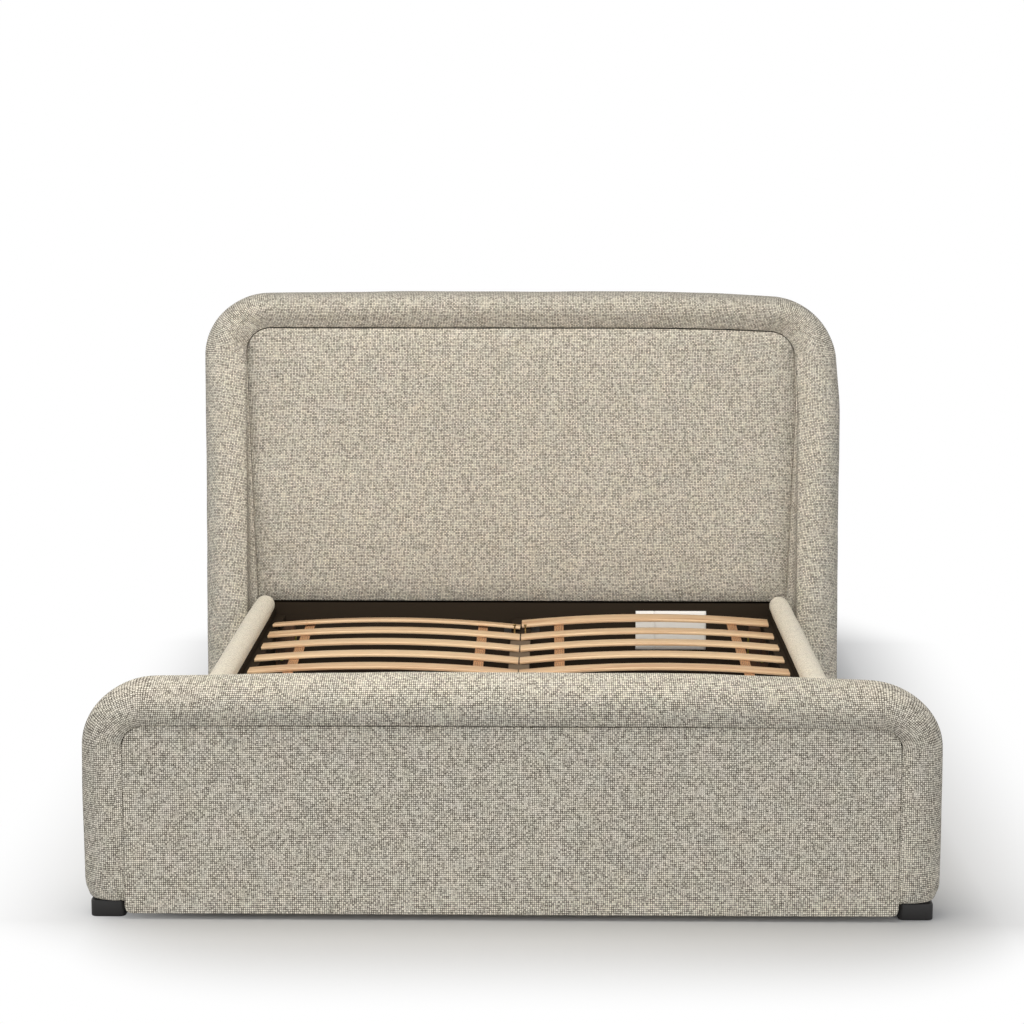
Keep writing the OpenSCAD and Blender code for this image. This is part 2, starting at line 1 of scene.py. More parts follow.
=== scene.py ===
from functools import partial
from math import asin, ceil, cos, hypot, pi, radians, sin, sqrt
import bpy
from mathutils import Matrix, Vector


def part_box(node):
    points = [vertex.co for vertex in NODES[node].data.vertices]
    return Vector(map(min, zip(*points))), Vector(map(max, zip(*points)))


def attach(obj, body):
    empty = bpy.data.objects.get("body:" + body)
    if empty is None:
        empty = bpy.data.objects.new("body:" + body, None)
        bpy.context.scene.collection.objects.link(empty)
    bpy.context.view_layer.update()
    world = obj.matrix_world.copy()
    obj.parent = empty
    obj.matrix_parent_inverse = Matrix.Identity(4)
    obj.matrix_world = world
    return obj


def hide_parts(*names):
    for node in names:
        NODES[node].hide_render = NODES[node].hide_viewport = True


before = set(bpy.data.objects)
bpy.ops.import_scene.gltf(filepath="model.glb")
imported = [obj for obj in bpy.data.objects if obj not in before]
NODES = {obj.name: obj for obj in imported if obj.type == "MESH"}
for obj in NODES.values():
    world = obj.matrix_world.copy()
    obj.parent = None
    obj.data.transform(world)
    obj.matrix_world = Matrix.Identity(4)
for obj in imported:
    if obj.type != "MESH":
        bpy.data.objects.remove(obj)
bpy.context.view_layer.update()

from types import SimpleNamespace

import bmesh
import bpy
from mathutils import Euler, Vector, noise

bl_info = {
    "name": "Sleigh bed",
    "version": (1, 0, 0),
    "blender": (4, 5, 0),
    "location": "View3D > Sidebar > Bed",
    "description": "Padded sleigh bed with two sets of sprung slats",
    "category": "Object",
}

SIDES = {"left": -1, "right": 1}

# ---------- sizes that the pads share with the frame, in metres ----------

HEAD_LOW, HEAD_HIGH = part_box("headboard_border")
FOOT_LOW, FOOT_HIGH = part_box("footboard_border")
FRONT_PAD_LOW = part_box("footboard_front_panel")[0]
INNER_PAD_LOW, INNER_PAD_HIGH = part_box("footboard_inner_panel")
RAIL_LOW, RAIL_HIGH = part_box("rail_cover_right")
BOARD_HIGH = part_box("rail_board_right")[1]
CORE_LOW, CORE_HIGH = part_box("headboard_core")
LEDGE_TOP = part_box("slat_ledge_right")[1][2]
FELT_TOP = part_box("beam_felt")[1][2]
CROSS_RAIL_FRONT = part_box("headboard_cross_rail")[0][1]

FIT = 0.0003                        # gap between a pad and the board under it
HALF_W = HEAD_HIGH[0]
FEET_H = HEAD_LOW[2]
WELL_END = -RAIL_LOW[1]
ENDS_T = HEAD_HIGH[1] - WELL_END
CORE_FRONT = CORE_LOW[1] - FIT
CORE_BACK = CORE_HIGH[1] + FIT
CORE_WRAP = 0.062                   # how far a border's groove reaches over the core board
HEM_IN, HEM_RISE = 0.016, 0.060     # how far the borders draw in at their feet, over what height
TOP_CROWN = 0.007                   # how much lower the top edge gets towards its ends
HEAD_H = HEAD_HIGH[2]
HEAD_SIDE, HEAD_TOP = 0.135, 0.107  # width of the border down its sides and along its top
HEAD_R, HEAD_CREASE_R = 0.200, 0.080    # corner radius of its outline and of its crease
HEAD_CREASE = (HEAD_SIDE, HEAD_TOP, HEAD_CREASE_R, HEAD_H)
HEAD_DEPTH, WING_SWEEP = 0.145, 0.105   # depth at the top, and how much more at the floor
WING_CURVE = 1.15
WALL_FLARE, LIP_DROP = 0.45, 0.024  # slope of the wing's inner wall, and depth of its rolled lip
SIDE_ROUND, BACK_ROUND = 0.070, 0.020   # depth of its outer rounding in front, radius behind
PANEL_LEAN, PANEL_LOW = 0.012, 0.335    # how far the panel leans back, and where it starts
FOOT_H = FOOT_HIGH[2]
FOOT_SIDE, FOOT_TOP = 0.101, 0.113
FOOT_R, FOOT_CREASE_R = 0.175, 0.055
FOOT_CREASE = (FOOT_SIDE, FOOT_TOP, FOOT_CREASE_R, FOOT_H)
PANEL_SET, SIDE_SET = 0.011, 0.005  # how far the panel and the roll's sides lie behind the roll

HEM_STATIONS = (0, 0.03, 0.08, 0.16, 0.28, 0.42, 0.6, 0.8, 1)
LEG_STEP, ARC_STEPS, TOP_STEPS = 0.018, 22, 44
CLOTH_FRAMES = 20
FLOOR_REACH = 14
NEAR_EDGE = (0.0, 0.003, 0.007, 0.012, 0.019, 0.028, 0.04, 0.056)
PAD_STEP = 0.022
HARD_EDGE = radians(35)
WHITE, BLACK = (1, 1, 1, 1), (0, 0, 0, 1)


def metres(name, text, value):
    return bpy.props.FloatProperty(name=name, description=text, default=value, unit="LENGTH")


class BedSizes(bpy.types.PropertyGroup):
    weave_cell: metres("Weave cell", "Width of one thick thread of the cover", 0.0050)
    puff: metres("Puff", "Most that the padding swells out from its cut shape", 0.006)
    pucker: metres("Pucker", "Depth of the small folds beside the creases", 0.0016)
    welt: metres("Welt", "Height of the sewn edge along the top of the panels", 0.0016)
    shoulder: metres("Shoulder", "How far the headboard's right shoulder slumps inwards", 0.016)
    slat_round: metres("Slat rounding", "Radius of the slats' long edges", 0.003)
    slat_bow: metres("Slat bow", "Rise of a slat in its middle", 0.019)
    slat_twist: bpy.props.FloatProperty(
        name="First slats' twist", description="How far each set's first slat tips about its length",
        default=radians(5), unit="ROTATION")
    tape_sag: metres("Webbing sag", "How far the webbing hangs between two slats", 0.004)


def colour(name, text, value):
    return bpy.props.FloatVectorProperty(
        name=name, description=text, subtype="COLOR", size=4, min=0, max=1, default=(*value, 1))


class BedColours(bpy.types.PropertyGroup):
    cover: colour("Cover", "Light threads of the cover", (0.98, 0.92, 0.785))
    cover_dark: colour("Cover flecks", "Dark threads of the cover", (0.065, 0.05, 0.034))
    rail: colour("Rail cover", "Smooth cloth over the side rails", (0.94, 0.88, 0.74))
    rail_dark: colour("Rail cover shade", "Thin threads of the rail cloth", (0.36, 0.31, 0.23))
    lining: colour("Back lining", "Thin lining that closes the back", (0.085, 0.075, 0.065))
    black: colour("Black board", "Stained rails, ledges and boards", (0.034, 0.025, 0.017))
    feet: colour("Feet", "Paint on the block feet and legs", (0.018, 0.017, 0.017))
    felt: colour("Felt", "Felt on the centre beam", (0.17, 0.125, 0.085))
    beech: colour("Beech", "Pale wood of the slats", (0.89, 0.63, 0.375))
    beech_dark: colour("Beech grain", "Grain lines of the slats", (0.60, 0.33, 0.165))
    # Painted shade: darker than raw timber is, so the corner blocks look shaded; also the dark grain of
    # the boards and posts and the webbing's dark threads.
    timber: colour("Timber", "Raw timber of the corner blocks", (0.105, 0.048, 0.02))
    ply: colour("Plywood", "Core boards and posts", (0.50, 0.33, 0.17))
    webbing: colour("Webbing", "Woven tape under the slats", (0.66, 0.33, 0.135))
    steel: colour("Zinc steel", "Hangers and corner angles", (0.15, 0.145, 0.135))
    yellow_zinc: colour("Yellow zinc", "Corner bolts", (0.50, 0.45, 0.10))
    brass: colour("Brass", "Stop screws", (0.55, 0.36, 0.14))
    paper: colour("Sheet", "Blank sheet on the headboard's rail", (0.97, 0.94, 0.89))
    # Grey, darker than the white beyond, so the floor round the bed is painted shadow as well as real
    # shade.
    floor: colour("Floor", "Floor round the bed", (0.55, 0.555, 0.56))


def sizes():
    return bpy.context.scene.bed_sizes


def colours():
    return bpy.context.scene.bed_colours


# ---------- node trees ----------

def feed(tree, node, ins):
    """Sets a node's sockets to values, or links them to other nodes' sockets."""
    for key, value in ins.items():
        if isinstance(value, bpy.types.NodeSocket):
            tree.links.new(value, node.inputs[key])
        else:
            node.inputs[key].default_value = value


def put(tree, kind, ins=None, **props):
    """Adds a node, sets its properties and feeds its sockets. Returns its outputs."""
    made = tree.nodes.new(kind)
    for key, value in props.items():
        setattr(made, key, value)
    feed(tree, made, ins or {})
    return made.outputs


def maths(tree, operation, *values):
    return put(tree, "ShaderNodeMath", dict(enumerate(values)), operation=operation)[0]


def arithmetic(tree):
    """Functions that add, subtract and multiply in one tree."""
    return [partial(maths, tree, operation) for operation in ("ADD", "SUBTRACT", "MULTIPLY")]


def vectors(tree, operation, *values):
    return put(tree, "ShaderNodeVectorMath", dict(enumerate(values)), operation=operation)["Vector"]


def combine(tree, x=0.0, y=0.0, z=0.0):
    return put(tree, "ShaderNodeCombineXYZ", {0: x, 1: y, 2: z})[0]


def separate(tree, vector):
    return put(tree, "ShaderNodeSeparateXYZ", {0: vector})


def clamped(tree, value):
    return put(tree, "ShaderNodeClamp", {0: value})[0]


def ramp(tree, value, low, high, to_low=0.0, to_high=1.0):
    """Goes smoothly from to_low to to_high while value goes from low to high."""
    return put(tree, "ShaderNodeMapRange", {"Value": value, "From Min": low, "From Max": high,
               "To Min": to_low, "To Max": to_high}, interpolation_type="SMOOTHSTEP")[0]


def blend(tree, share, first, second):
    return put(tree, "ShaderNodeMix", {0: share, 2: first, 3: second})[0]


def blend_colours(tree, share, first, second, way="MIX"):
    return put(tree, "ShaderNodeMix", {0: share, 6: first, 7: second},
               data_type="RGBA", blend_type=way)[2]


def noise_of(tree, vector, scale, detail=2.0, roughness=0.5):
    return put(tree, "ShaderNodeTexNoise", {"Vector": vector, "Scale": scale, "Detail": detail,
               "Roughness": roughness})


def stretched_noise(tree, vector, scales, detail=2.0, roughness=0.5):
    """Noise with a scale of its own along each axis."""
    return noise_of(tree, vectors(tree, "MULTIPLY", vector, scales), 1.0, detail, roughness)


def node_group(name, kind, ins, outs):
    """A new node group with named sockets: its tree, what comes in, and its output node."""
    group = bpy.data.node_groups.new(name, kind)
    for label, (sort, value) in ins.items():
        socket = group.interface.new_socket(label, in_out="INPUT", socket_type="NodeSocket" + sort)
        if value is not None:
            socket.default_value = value
    for label, sort in outs.items():
        group.interface.new_socket(label, in_out="OUTPUT", socket_type="NodeSocket" + sort)
    return group, group.nodes.new("NodeGroupInput").outputs, group.nodes.new("NodeGroupOutput")


def flecked_weave():
    """Thick uneven threads that pass over and under each other, in two colours."""
    group, g, out = node_group("flecked_weave", "ShaderNodeTree", {
        "Vector": ("Vector", None), "Cell": ("Float", 0.007), "Light": ("Color", WHITE),
        "Dark": ("Color", BLACK), "Fleck": ("Float", 0.5), "Cloud": ("Float", 0.1)},
        {"Color": "Color", "Height": "Float"})
    plus, minus, times = arithmetic(group)
    wander = noise_of(group, g["Vector"], 55.0)["Color"]
    shift = vectors(group, "MULTIPLY", vectors(group, "SUBTRACT", wander, (0.5,) * 3),
                    (0.0035, 0.0035, 0.0))
    place = vectors(group, "DIVIDE", vectors(group, "ADD", g["Vector"], shift),
                    combine(group, g["Cell"], g["Cell"], 1.0))
    cell = vectors(group, "FLOOR", place)
    part = separate(group, vectors(group, "FRACTION", place))
    index = separate(group, cell)
    odd = maths(group, "MODULO", maths(group, "ABSOLUTE", plus(index[0], index[1])), 2.0)
    chance = put(group, "ShaderNodeTexWhiteNoise", {"Vector": cell}, noise_dimensions="2D")[0]
    # Half of the cells show a thread that lies across, and half one that lies along.
    across = blend(group, odd, part[0], part[1])
    along = blend(group, odd, part[1], part[0])
    hump, bow = [maths(group, "SINE", times(way, pi)) for way in (across, along)]
    body = times(maths(group, "POWER", maths(group, "MAXIMUM", hump, 0.0), 1.2),
                 ramp(group, bow, 0.0, 1.0, 0.15, 1.0))
    fuzz = stretched_noise(group, g["Vector"], (400.0, 400.0, 1.0), 2.0, 0.6)[0]
    slub = stretched_noise(group, g["Vector"], (80.0, 210.0, 1.0))[0]
    slub_up = stretched_noise(group, g["Vector"], (210.0, 80.0, 1.0))[0]
    dark = plus(g["Fleck"], times(minus(1.0, body), 1.12))
    for source, weight in ((odd, 0.20), (chance, 0.6), (fuzz, 0.4), (slub, 0.4), (slub_up, 0.15)):
        dark = plus(dark, times(minus(source, 0.5), weight))
    mixed = blend_colours(group, clamped(group, dark), g["Light"], g["Dark"])
    cloud = noise_of(group, g["Vector"], 5.0, 3.0, 0.55)[0]
    shade = plus(1.0, times(g["Cloud"], minus(cloud, 0.5)))
    blush = separate(group, noise_of(group, g["Vector"], 16.0, 3.0, 0.7)["Color"])
    warm, cool = [plus(shade, times(g["Cloud"], minus(value, 0.5))) for value in (blush[0], blush[2])]
    tone = combine(group, warm, shade, cool)
    feed(group, out, {"Color": blend_colours(group, 1.0, mixed, tone, "MULTIPLY"),
                      "Height": plus(body, times(fuzz, 0.8))})
    return group


def wood_grain():
    """Long fibres with wavy growth lines and short pores, along the vector's X."""
    group, g, out = node_group("wood_grain", "ShaderNodeTree", {
        "Vector": ("Vector", None), "Light": ("Color", WHITE), "Dark": ("Color", BLACK),
        "Lines": ("Float", 60.0), "Tint": ("Float", 0.5)}, {"Color": "Color", "Height": "Float"})
    plus, minus, times = arithmetic(group)
    wave = stretched_noise(group, g["Vector"], (1.6, 9.0, 9.0), 3.0)["Color"]
    bend = vectors(group, "ADD", g["Vector"], vectors(group, "MULTIPLY", wave, (0.0, 0.03, 0.03)))
    lines = stretched_noise(group, bend, combine(group, 1.4, g["Lines"], g["Lines"]), 4.0, 0.6)[0]
    pores = stretched_noise(group, g["Vector"], (40.0, 900.0, 900.0), 2.0, 0.6)[0]
    tone = plus(ramp(group, lines, 0.42, 0.66, 0.0, 0.75), ramp(group, pores, 0.56, 0.74, 0.0, 0.40))
    tone = plus(tone, times(minus(g["Tint"], 0.5), 0.5))
    feed(group, out, {"Color": blend_colours(group, clamped(group, tone), g["Light"], g["Dark"]),
                      "Height": minus(lines, pores)})
    return group


def rubbed():
    """Scuffs and settled dust: lightens faces that look up and breaks up the gloss."""
    group, g, out = node_group("rubbed", "ShaderNodeTree", {
        "Vector": ("Vector", None), "Color": ("Color", (0.5, 0.5, 0.5, 1)),
        "Dust": ("Float", 0.1), "Rough": ("Float", 0.5)}, {"Color": "Color", "Roughness": "Float"})
    plus, minus, times = arithmetic(group)
    speck = noise_of(group, g["Vector"], 90.0, 4.0, 0.7)[0]
    patch = noise_of(group, g["Vector"], 7.0, 3.0, 0.6)[0]
    up = separate(group, put(group, "ShaderNodeNewGeometry")["Normal"])[2]
    lying = times(ramp(group, up, 0.2, 1.0, 0.25, 1.0), ramp(group, patch, 0.35, 0.75))
    lying = times(plus(lying, ramp(group, speck, 0.6, 0.8, 0.0, 0.8)), g["Dust"])
    dust = (0.22, 0.195, 0.165, 1)
    rough = plus(g["Rough"], times(minus(speck, 0.5), 0.35))
    feed(group, out, {"Color": blend_colours(group, clamped(group, lying), g["Color"], dust),
                      "Roughness": clamped(group, rough)})
    return group


def use_group(tree, maker, **ins):
    """Adds a node of maker's group, which is made when it is first used."""
    group = bpy.data.node_groups.get(maker.__name__) or maker()
    return put(tree, "ShaderNodeGroup", ins, node_tree=group)


def new_material(name):
    """A new material, its tree and its shader."""
    made = bpy.data.materials.new(name)
    made.use_nodes = True
    return made, made.node_tree, made.node_tree.nodes["Principled BSDF"]


def bump(tree, height, distance):
    return put(tree, "ShaderNodeBump", {"Strength": 1.0, "Distance": distance, "Height": height})[0]


def cloth_material(name, light, dark, cell, fleck, relief, cloud=0.12):
    """Woven cover on the piece's own UV map, which is in metres."""
    made, tree, shader = new_material(name)
    uv = put(tree, "ShaderNodeUVMap", uv_map="weave")[0]
    woven = use_group(tree, flecked_weave, Vector=uv, Cell=cell, Light=light, Dark=dark,
                      Fleck=fleck, Cloud=cloud)
    # Painted shade: the piece's own attribute darkens the weave towards black.
    painted_shade_amount = put(tree, "ShaderNodeAttribute", attribute_name="painted_shade")["Fac"]
    feed(tree, shader, {
        "Base Color": blend_colours(tree, painted_shade_amount, woven["Color"], BLACK), "Roughness": 0.92,
        "Specular IOR Level": 0.2, "Sheen Weight": 0.12, "Sheen Roughness": 0.6,
        "Normal": bump(tree, woven["Height"], relief)})
    return made


def wood_material(name, light, dark, axis, lines, rough, coat=0.0, lot_name=None):
    """Wood with its grain along one axis. lot_name is the attribute that tells the boards apart."""
    made, tree, shader = new_material(name)
    turn = {"x": (0, 0, 0), "z": (0, radians(90), 0)}[axis]
    place = put(tree, "ShaderNodeMapping", {
        "Vector": put(tree, "ShaderNodeTexCoord")["Object"], "Rotation": turn})[0]
    ins = {"Vector": place, "Light": light, "Dark": dark, "Lines": lines}
    if lot_name:
        lot = put(tree, "ShaderNodeAttribute", attribute_name=lot_name)["Fac"]
        jump = combine(tree, maths(tree, "MULTIPLY", lot, 9.0), lot, lot)
        ins.update({"Tint": lot, "Vector": vectors(tree, "ADD", place, jump)})
    grain = use_group(tree, wood_grain, **ins)
    worn = use_group(tree, rubbed, Vector=place, Color=grain["Color"], Dust=0.05, Rough=rough)
    feed(tree, shader, {
        "Base Color": worn["Color"], "Roughness": worn["Roughness"], "Coat Weight": coat,
        "Coat Roughness": 0.25, "Normal": bump(tree, grain["Height"], 0.0004)})
    return made


def painted_material(name, base, rough, dust, metal=0.0, relief=0.0002, scale=260.0, gloss=0.5):
    """One colour with dust and a fine relief, for paint, metal, felt, lining and paper."""
    made, tree, shader = new_material(name)
    place = put(tree, "ShaderNodeTexCoord")["Object"]
    worn = use_group(tree, rubbed, Vector=place, Color=base, Dust=dust, Rough=rough)
    feed(tree, shader, {
        "Base Color": worn["Color"], "Roughness": worn["Roughness"], "Metallic": metal,
        "Specular IOR Level": gloss,
        "Normal": bump(tree, noise_of(tree, place, scale, 3.0, 0.6)[0], relief)})
    return made


def material(name):
    """The finish of that name, made when it is first asked for. It is kept under a name of its own,
    apart from the plain colours that the frame brings."""
    own = name + "_finish"
    if own in bpy.data.materials:
        return bpy.data.materials[own]
    c, cell = colours(), sizes().weave_cell
    cloth, wood, paint = [partial(kind, own) for kind in (cloth_material, wood_material, painted_material)]
    makers = {
        "oatmeal_cloth": lambda: cloth(c.cover, c.cover_dark, cell, -0.17, 0.0012),
        "rail_cloth": lambda: cloth(c.rail, c.rail_dark, cell * 0.6, -0.52, 0.0004, 0.08),
        "webbing_tape": lambda: cloth(c.webbing, c.timber, 0.0022, -0.30, 0.0006),
        "felt_cloth": lambda: paint(c.felt, 0.95, 0.06, relief=0.0008, scale=420.0, gloss=0.1),
        "lining_cloth": lambda: paint(c.lining, 0.9, 0.12, relief=0.0006, scale=520.0, gloss=0.15),
        "black_board": lambda: paint(c.black, 0.8, 0.0, gloss=0.03),
        "black_lining": lambda: paint(c.black, 0.95, 0.0, relief=0.0005, scale=480.0, gloss=0.03),
        "black_paint": lambda: paint(c.feet, 0.42, 0.06),
        "black_plastic": lambda: paint(c.feet, 0.5, 0.04, scale=700.0),
        "zinc_steel": lambda: paint(c.steel, 0.34, 0.05, metal=1.0),
        "yellow_zinc": lambda: paint(c.yellow_zinc, 0.32, 0.04, metal=1.0),
        "brass": lambda: paint(c.brass, 0.3, 0.05, metal=1.0),
        "blank_paper": lambda: paint(c.paper, 0.6, 0.03, scale=900.0),
        "beech": lambda: wood(c.beech, c.beech_dark, "x", 70.0, 0.38, 0.35, "lot"),
        # The corner blocks' wood, its light colour darkened as painted shade.
        "raw_timber": lambda: wood(c.timber, c.black, "z", 90.0, 0.75),
        "plywood": lambda: wood(c.ply, c.timber, "x", 40.0, 0.7),
        "pine_posts": lambda: wood(c.ply, c.timber, "z", 50.0, 0.7),
    }
    return makers[name]()


# ---------- meshes ----------

def add_object(name, data):
    made = bpy.data.objects.new(name, data)
    bpy.context.scene.collection.objects.link(made)
    return made


def finish_mesh(name, bm, finish):
    """Turns a bmesh into a smooth object of the scene, its faces outwards."""
    bmesh.ops.recalc_face_normals(bm, faces=bm.faces)
    mesh = bpy.data.meshes.new(name)
    bm.to_mesh(mesh)
    bm.free()
    mesh.materials.append(material(finish))
    mesh.polygons.foreach_set("use_smooth", [True] * len(mesh.polygons))
    return add_object(name, mesh)


def skin(bm, rows, uv=None):
    """Closed skin over rings of points. uv(a, b) gives the place on the UV map of point b of ring a,
    and b may be one past the last. Returns the faces that close its two ends."""
    layer = bm.loops.layers.uv.get("weave")
    n = len(rows[0])
    for i in range(len(rows) - 1):
        for j in range(n):
            k = (j + 1) % n
            face = bm.faces.new((rows[i][j], rows[i + 1][j], rows[i + 1][k], rows[i][k]))
            if uv:
                for loop, (a, b) in zip(face.loops, ((i, j), (i + 1, j), (i + 1, j + 1), (i, j + 1))):
                    loop[layer].uv = uv(a, b)
    return [bm.faces.new(rows[i]) for i in (0, -1)]


def loft(name, rings, finish, us, seam=0, painted_shade=()):
    """Closed skin over rings with the same number of points. us gives each ring's place along the
    piece for the weave, and the section is unrolled from its point number seam. The last argument
    lists the painted shade that darkens the cover at each point of the section, ring by ring."""
    bm = bmesh.new()
    layer = bm.loops.layers.uv.new("weave")
    painted_shade_amount = bm.verts.layers.float.new("painted_shade")
    verts = [[bm.verts.new(p) for p in ring] for ring in rings]
    for row, shares in zip(verts, painted_shade):
        for vert, share in zip(row, shares):
            vert[painted_shade_amount] = share
    vs = []
    for ring in rings:
        run = [0.0]
        for a, b in zip(ring, ring[1:] + ring[:1]):
            run.append(run[-1] + (Vector(b) - Vector(a)).length)
        vs.append([r - run[seam] for r in run])
    ends = skin(bm, verts, lambda a, b: (us[a], vs[a][b]))
    for face, ring in zip(ends, (rings[0], rings[-1])):
        for loop, p in zip(face.loops, ring):
            loop[layer].uv = (p[0], p[1])
    return finish_mesh(name, bm, finish)


def even(low, high, count):
    return [low + (high - low) * k / count for k in range(count + 1)]


def graded(low, high):
    """Places from low to high, close together near both ends and evenly spaced in between."""
    reach = NEAR_EDGE[-1]
    middle = even(low + reach, high - reach, max(1, round((high - low - 2 * reach) / PAD_STEP)))
    return [low + e for e in NEAR_EDGE[:-1]] + middle + [high - e for e in reversed(NEAR_EDGE[:-1])]


def round_corner(x, z, box, r_top, r_low):
    """Moves a point of a rectangle so that the rectangle's corners become round."""
    x0, x1, z0, z1 = box
    sx = 1 if x > (x0 + x1) / 2 else -1
    sz, r = (1, r_top) if z > (z0 + z1) / 2 else (-1, r_low)
    cx, cz = (x1 - r if sx > 0 else x0 + r), (z1 - r if sz > 0 else z0 + r)
    a, b = (x - cx) * sx / max(r, 1e-6), (z - cz) * sz / max(r, 1e-6)
    if r <= 0 or a <= 0 or b <= 0:
        return x, z
    return (cx + sx * r * a * sqrt(1 - b * b / 2), cz + sz * r * b * sqrt(1 - a * a / 2))


def edge_distance(x, z, box, r_top, r_low):
    """Distance of a point from the outline of the rounded rectangle."""
    x0, x1, z0, z1 = box
    r = r_top if z > (z0 + z1) / 2 else r_low
    qx = abs(x - (x0 + x1) / 2) - (x1 - x0) / 2 + r
    qz = abs(z - (z0 + z1) / 2) - (z1 - z0) / 2 + r
    return r - min(max(qx, qz), 0) - hypot(max(qx, 0), max(qz, 0))


def pad(name, box, r_top, r_low, place, back, painted_shade=None):
    """Cushion with a swelled front. place(x, z, d) gives a point of the front at the distance d
    from its outline, back(x, z) a point of its flat rear face, and the last argument, at (x, z),
    how much painted shade darkens the cover there."""
    bm = bmesh.new()
    layer = bm.loops.layers.uv.new("weave")
    painted_shade_amount = bm.verts.layers.float.new("painted_shade")
    xs, zs = graded(*box[:2]), graded(*box[2:])
    front, rear, flat = {}, {}, {}
    for i, x in enumerate(xs):
        for j, z in enumerate(zs):
            px, pz = round_corner(x, z, box, r_top, r_low)
            d = max(0.0, edge_distance(px, pz, box, r_top, r_low))
            front[i, j] = bm.verts.new(place(px, pz, d))
            front[i, j][painted_shade_amount] = painted_shade(px, pz) if painted_shade else 0.0
            rear[i, j] = bm.verts.new(back(px, pz))
            flat[i, j] = (px, pz)
    last_i, last_j = len(xs) - 1, len(zs) - 1
    for i in range(last_i):
        for j in range(last_j):
            corners = [(i, j), (i + 1, j), (i + 1, j + 1), (i, j + 1)]
            for side, order in ((front, corners), (rear, corners[::-1])):
                face = bm.faces.new([side[c] for c in order])
                for loop, c in zip(face.loops, order):
                    loop[layer].uv = flat[c]
    rim = [(i, 0) for i in range(last_i)] + [(last_i, j) for j in range(last_j)] \
        + [(i, last_j) for i in range(last_i, 0, -1)] + [(0, j) for j in range(last_j, 0, -1)]
    for a, b in zip(rim, rim[1:] + rim[:1]):
        face = bm.faces.new((front[b], front[a], rear[a], rear[b]))
        depth = (front[a].co - rear[a].co).length
        for loop, (c, out) in zip(face.loops, ((b, 0), (a, 0), (a, depth), (b, depth))):
            loop[layer].uv = (flat[c][0], flat[c][1] - out)
    return finish_mesh(name, bm, "oatmeal_cloth")


def inflate(made, held, cap, pressure=4.0):
    """Swells a padded piece with cloth under pressure, each point by at most cap. held(p) tells
    which points the stitches and boards hold still."""
    group = made.vertex_groups.new(name="held")
    group.add([v.index for v in made.data.vertices if held(v.co)], 1.0, "REPLACE")
    scene = bpy.context.scene
    start = [v.co.copy() for v in made.data.vertices]
    cloth = made.modifiers.new("swell", "CLOTH")
    for key, value in {
            "quality": 4, "mass": 0.3, "tension_stiffness": 25, "compression_stiffness": 25,
            "shear_stiffness": 12, "bending_stiffness": 1.5, "use_pressure": True,
            "uniform_pressure_force": pressure, "vertex_group_mass": "held"}.items():
        setattr(cloth.settings, key, value)
    cloth.settings.effector_weights.gravity = 0
    cloth.collision_settings.use_collision = False
    for step in range(1, CLOTH_FRAMES + 1):
        scene.frame_set(step)
    shape = made.evaluated_get(bpy.context.evaluated_depsgraph_get()).to_mesh()
    ends = [v.co.copy() for v in shape.vertices]
    made.evaluated_get(bpy.context.evaluated_depsgraph_get()).to_mesh_clear()
    made.modifiers.remove(cloth)
    scene.frame_set(1)
    for v, a, b in zip(made.data.vertices, start, ends):
        move = b - a
        if move.length > cap:
            move *= cap / move.length
        v.co = a + move
    made.vertex_groups.clear()


def subdivide(made):
    smooth = made.modifiers.new("round", "SUBSURF")
    smooth.levels = smooth.render_levels = 1


def wrinkle(p, size, seed):
    return noise.noise(Vector(p) / size + Vector((seed, seed * 1.7, -seed)))


def rise(value, low, high):
    """Goes smoothly from 0 to 1 while value goes from low to high."""
    t = min(1.0, max(0.0, (value - low) / (high - low)))
    return t * t * (3 - 2 * t)


def declare(made, body, nodes=()):
    """The frame calls that every piece takes: it joins its body and hides the nodes it stands for."""
    if nodes:
        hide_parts(*nodes)
    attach(made, body)


# ---------- the borders, as the frame lofts them ----------

def crown(x, a):
    return TOP_CROWN * (x / HALF_W) ** 2 * sin(a)


def u_path(h, side, top, r, crease_r):
    """Stations round an upside-down U from the left foot to the right foot. Each is the outer
    point, the crease point and how far the section is drawn in there."""
    x, z1 = HALF_W, FEET_H + HEM_RISE
    half = []
    for k in HEM_STATIONS:
        hem = HEM_IN * (1 - sqrt(1 - (1 - k) ** 2))
        z = FEET_H + HEM_RISE * k
        half.append(((x, z), (x - side, z), hem))
    legs = ceil((h - r - z1) / LEG_STEP)
    for k in range(1, legs + 1):
        half.append(((x, z1 + (h - r - z1) * k / legs),
                     (x - side, z1 + (h - top - crease_r - z1) * k / legs), 0.0))
    for k in range(1, ARC_STEPS + 1):
        a = pi / 2 * k / ARC_STEPS
        px = x - r + r * cos(a)
        outer = (px, h - r + r * sin(a) - crown(px, a))
        crease = (x - side - crease_r + crease_r * cos(a), h - top - crease_r + crease_r * sin(a))
        half.append((outer, crease, 0.0))
    for k in range(1, TOP_STEPS + 1):
        s = 1 - k / TOP_STEPS
        outer = ((x - r) * s, h - crown((x - r) * s, pi / 2))
        half.append((outer, ((x - side - crease_r) * s, h - top), 0.0))
    mirror = [((-o[0], o[1]), (-c[0], c[1]), hem) for o, c, hem in half]
    return mirror + half[-2::-1]


def wing_front(z):
    return HEAD_HIGH[1] - HEAD_DEPTH - WING_SWEEP * max(0.0, 1 - z / HEAD_H) ** WING_CURVE


def panel_face(z):
    return WELL_END + PANEL_LEAN * max(0.0, z - PANEL_LOW) / (HEAD_H - HEAD_TOP - PANEL_LOW)


def wing_wall(z):
    """How far the foot of the wing's inner wall lies inside its edge."""
    return WALL_FLARE * max(0.0, panel_face(z) - wing_front(z) - LIP_DROP)


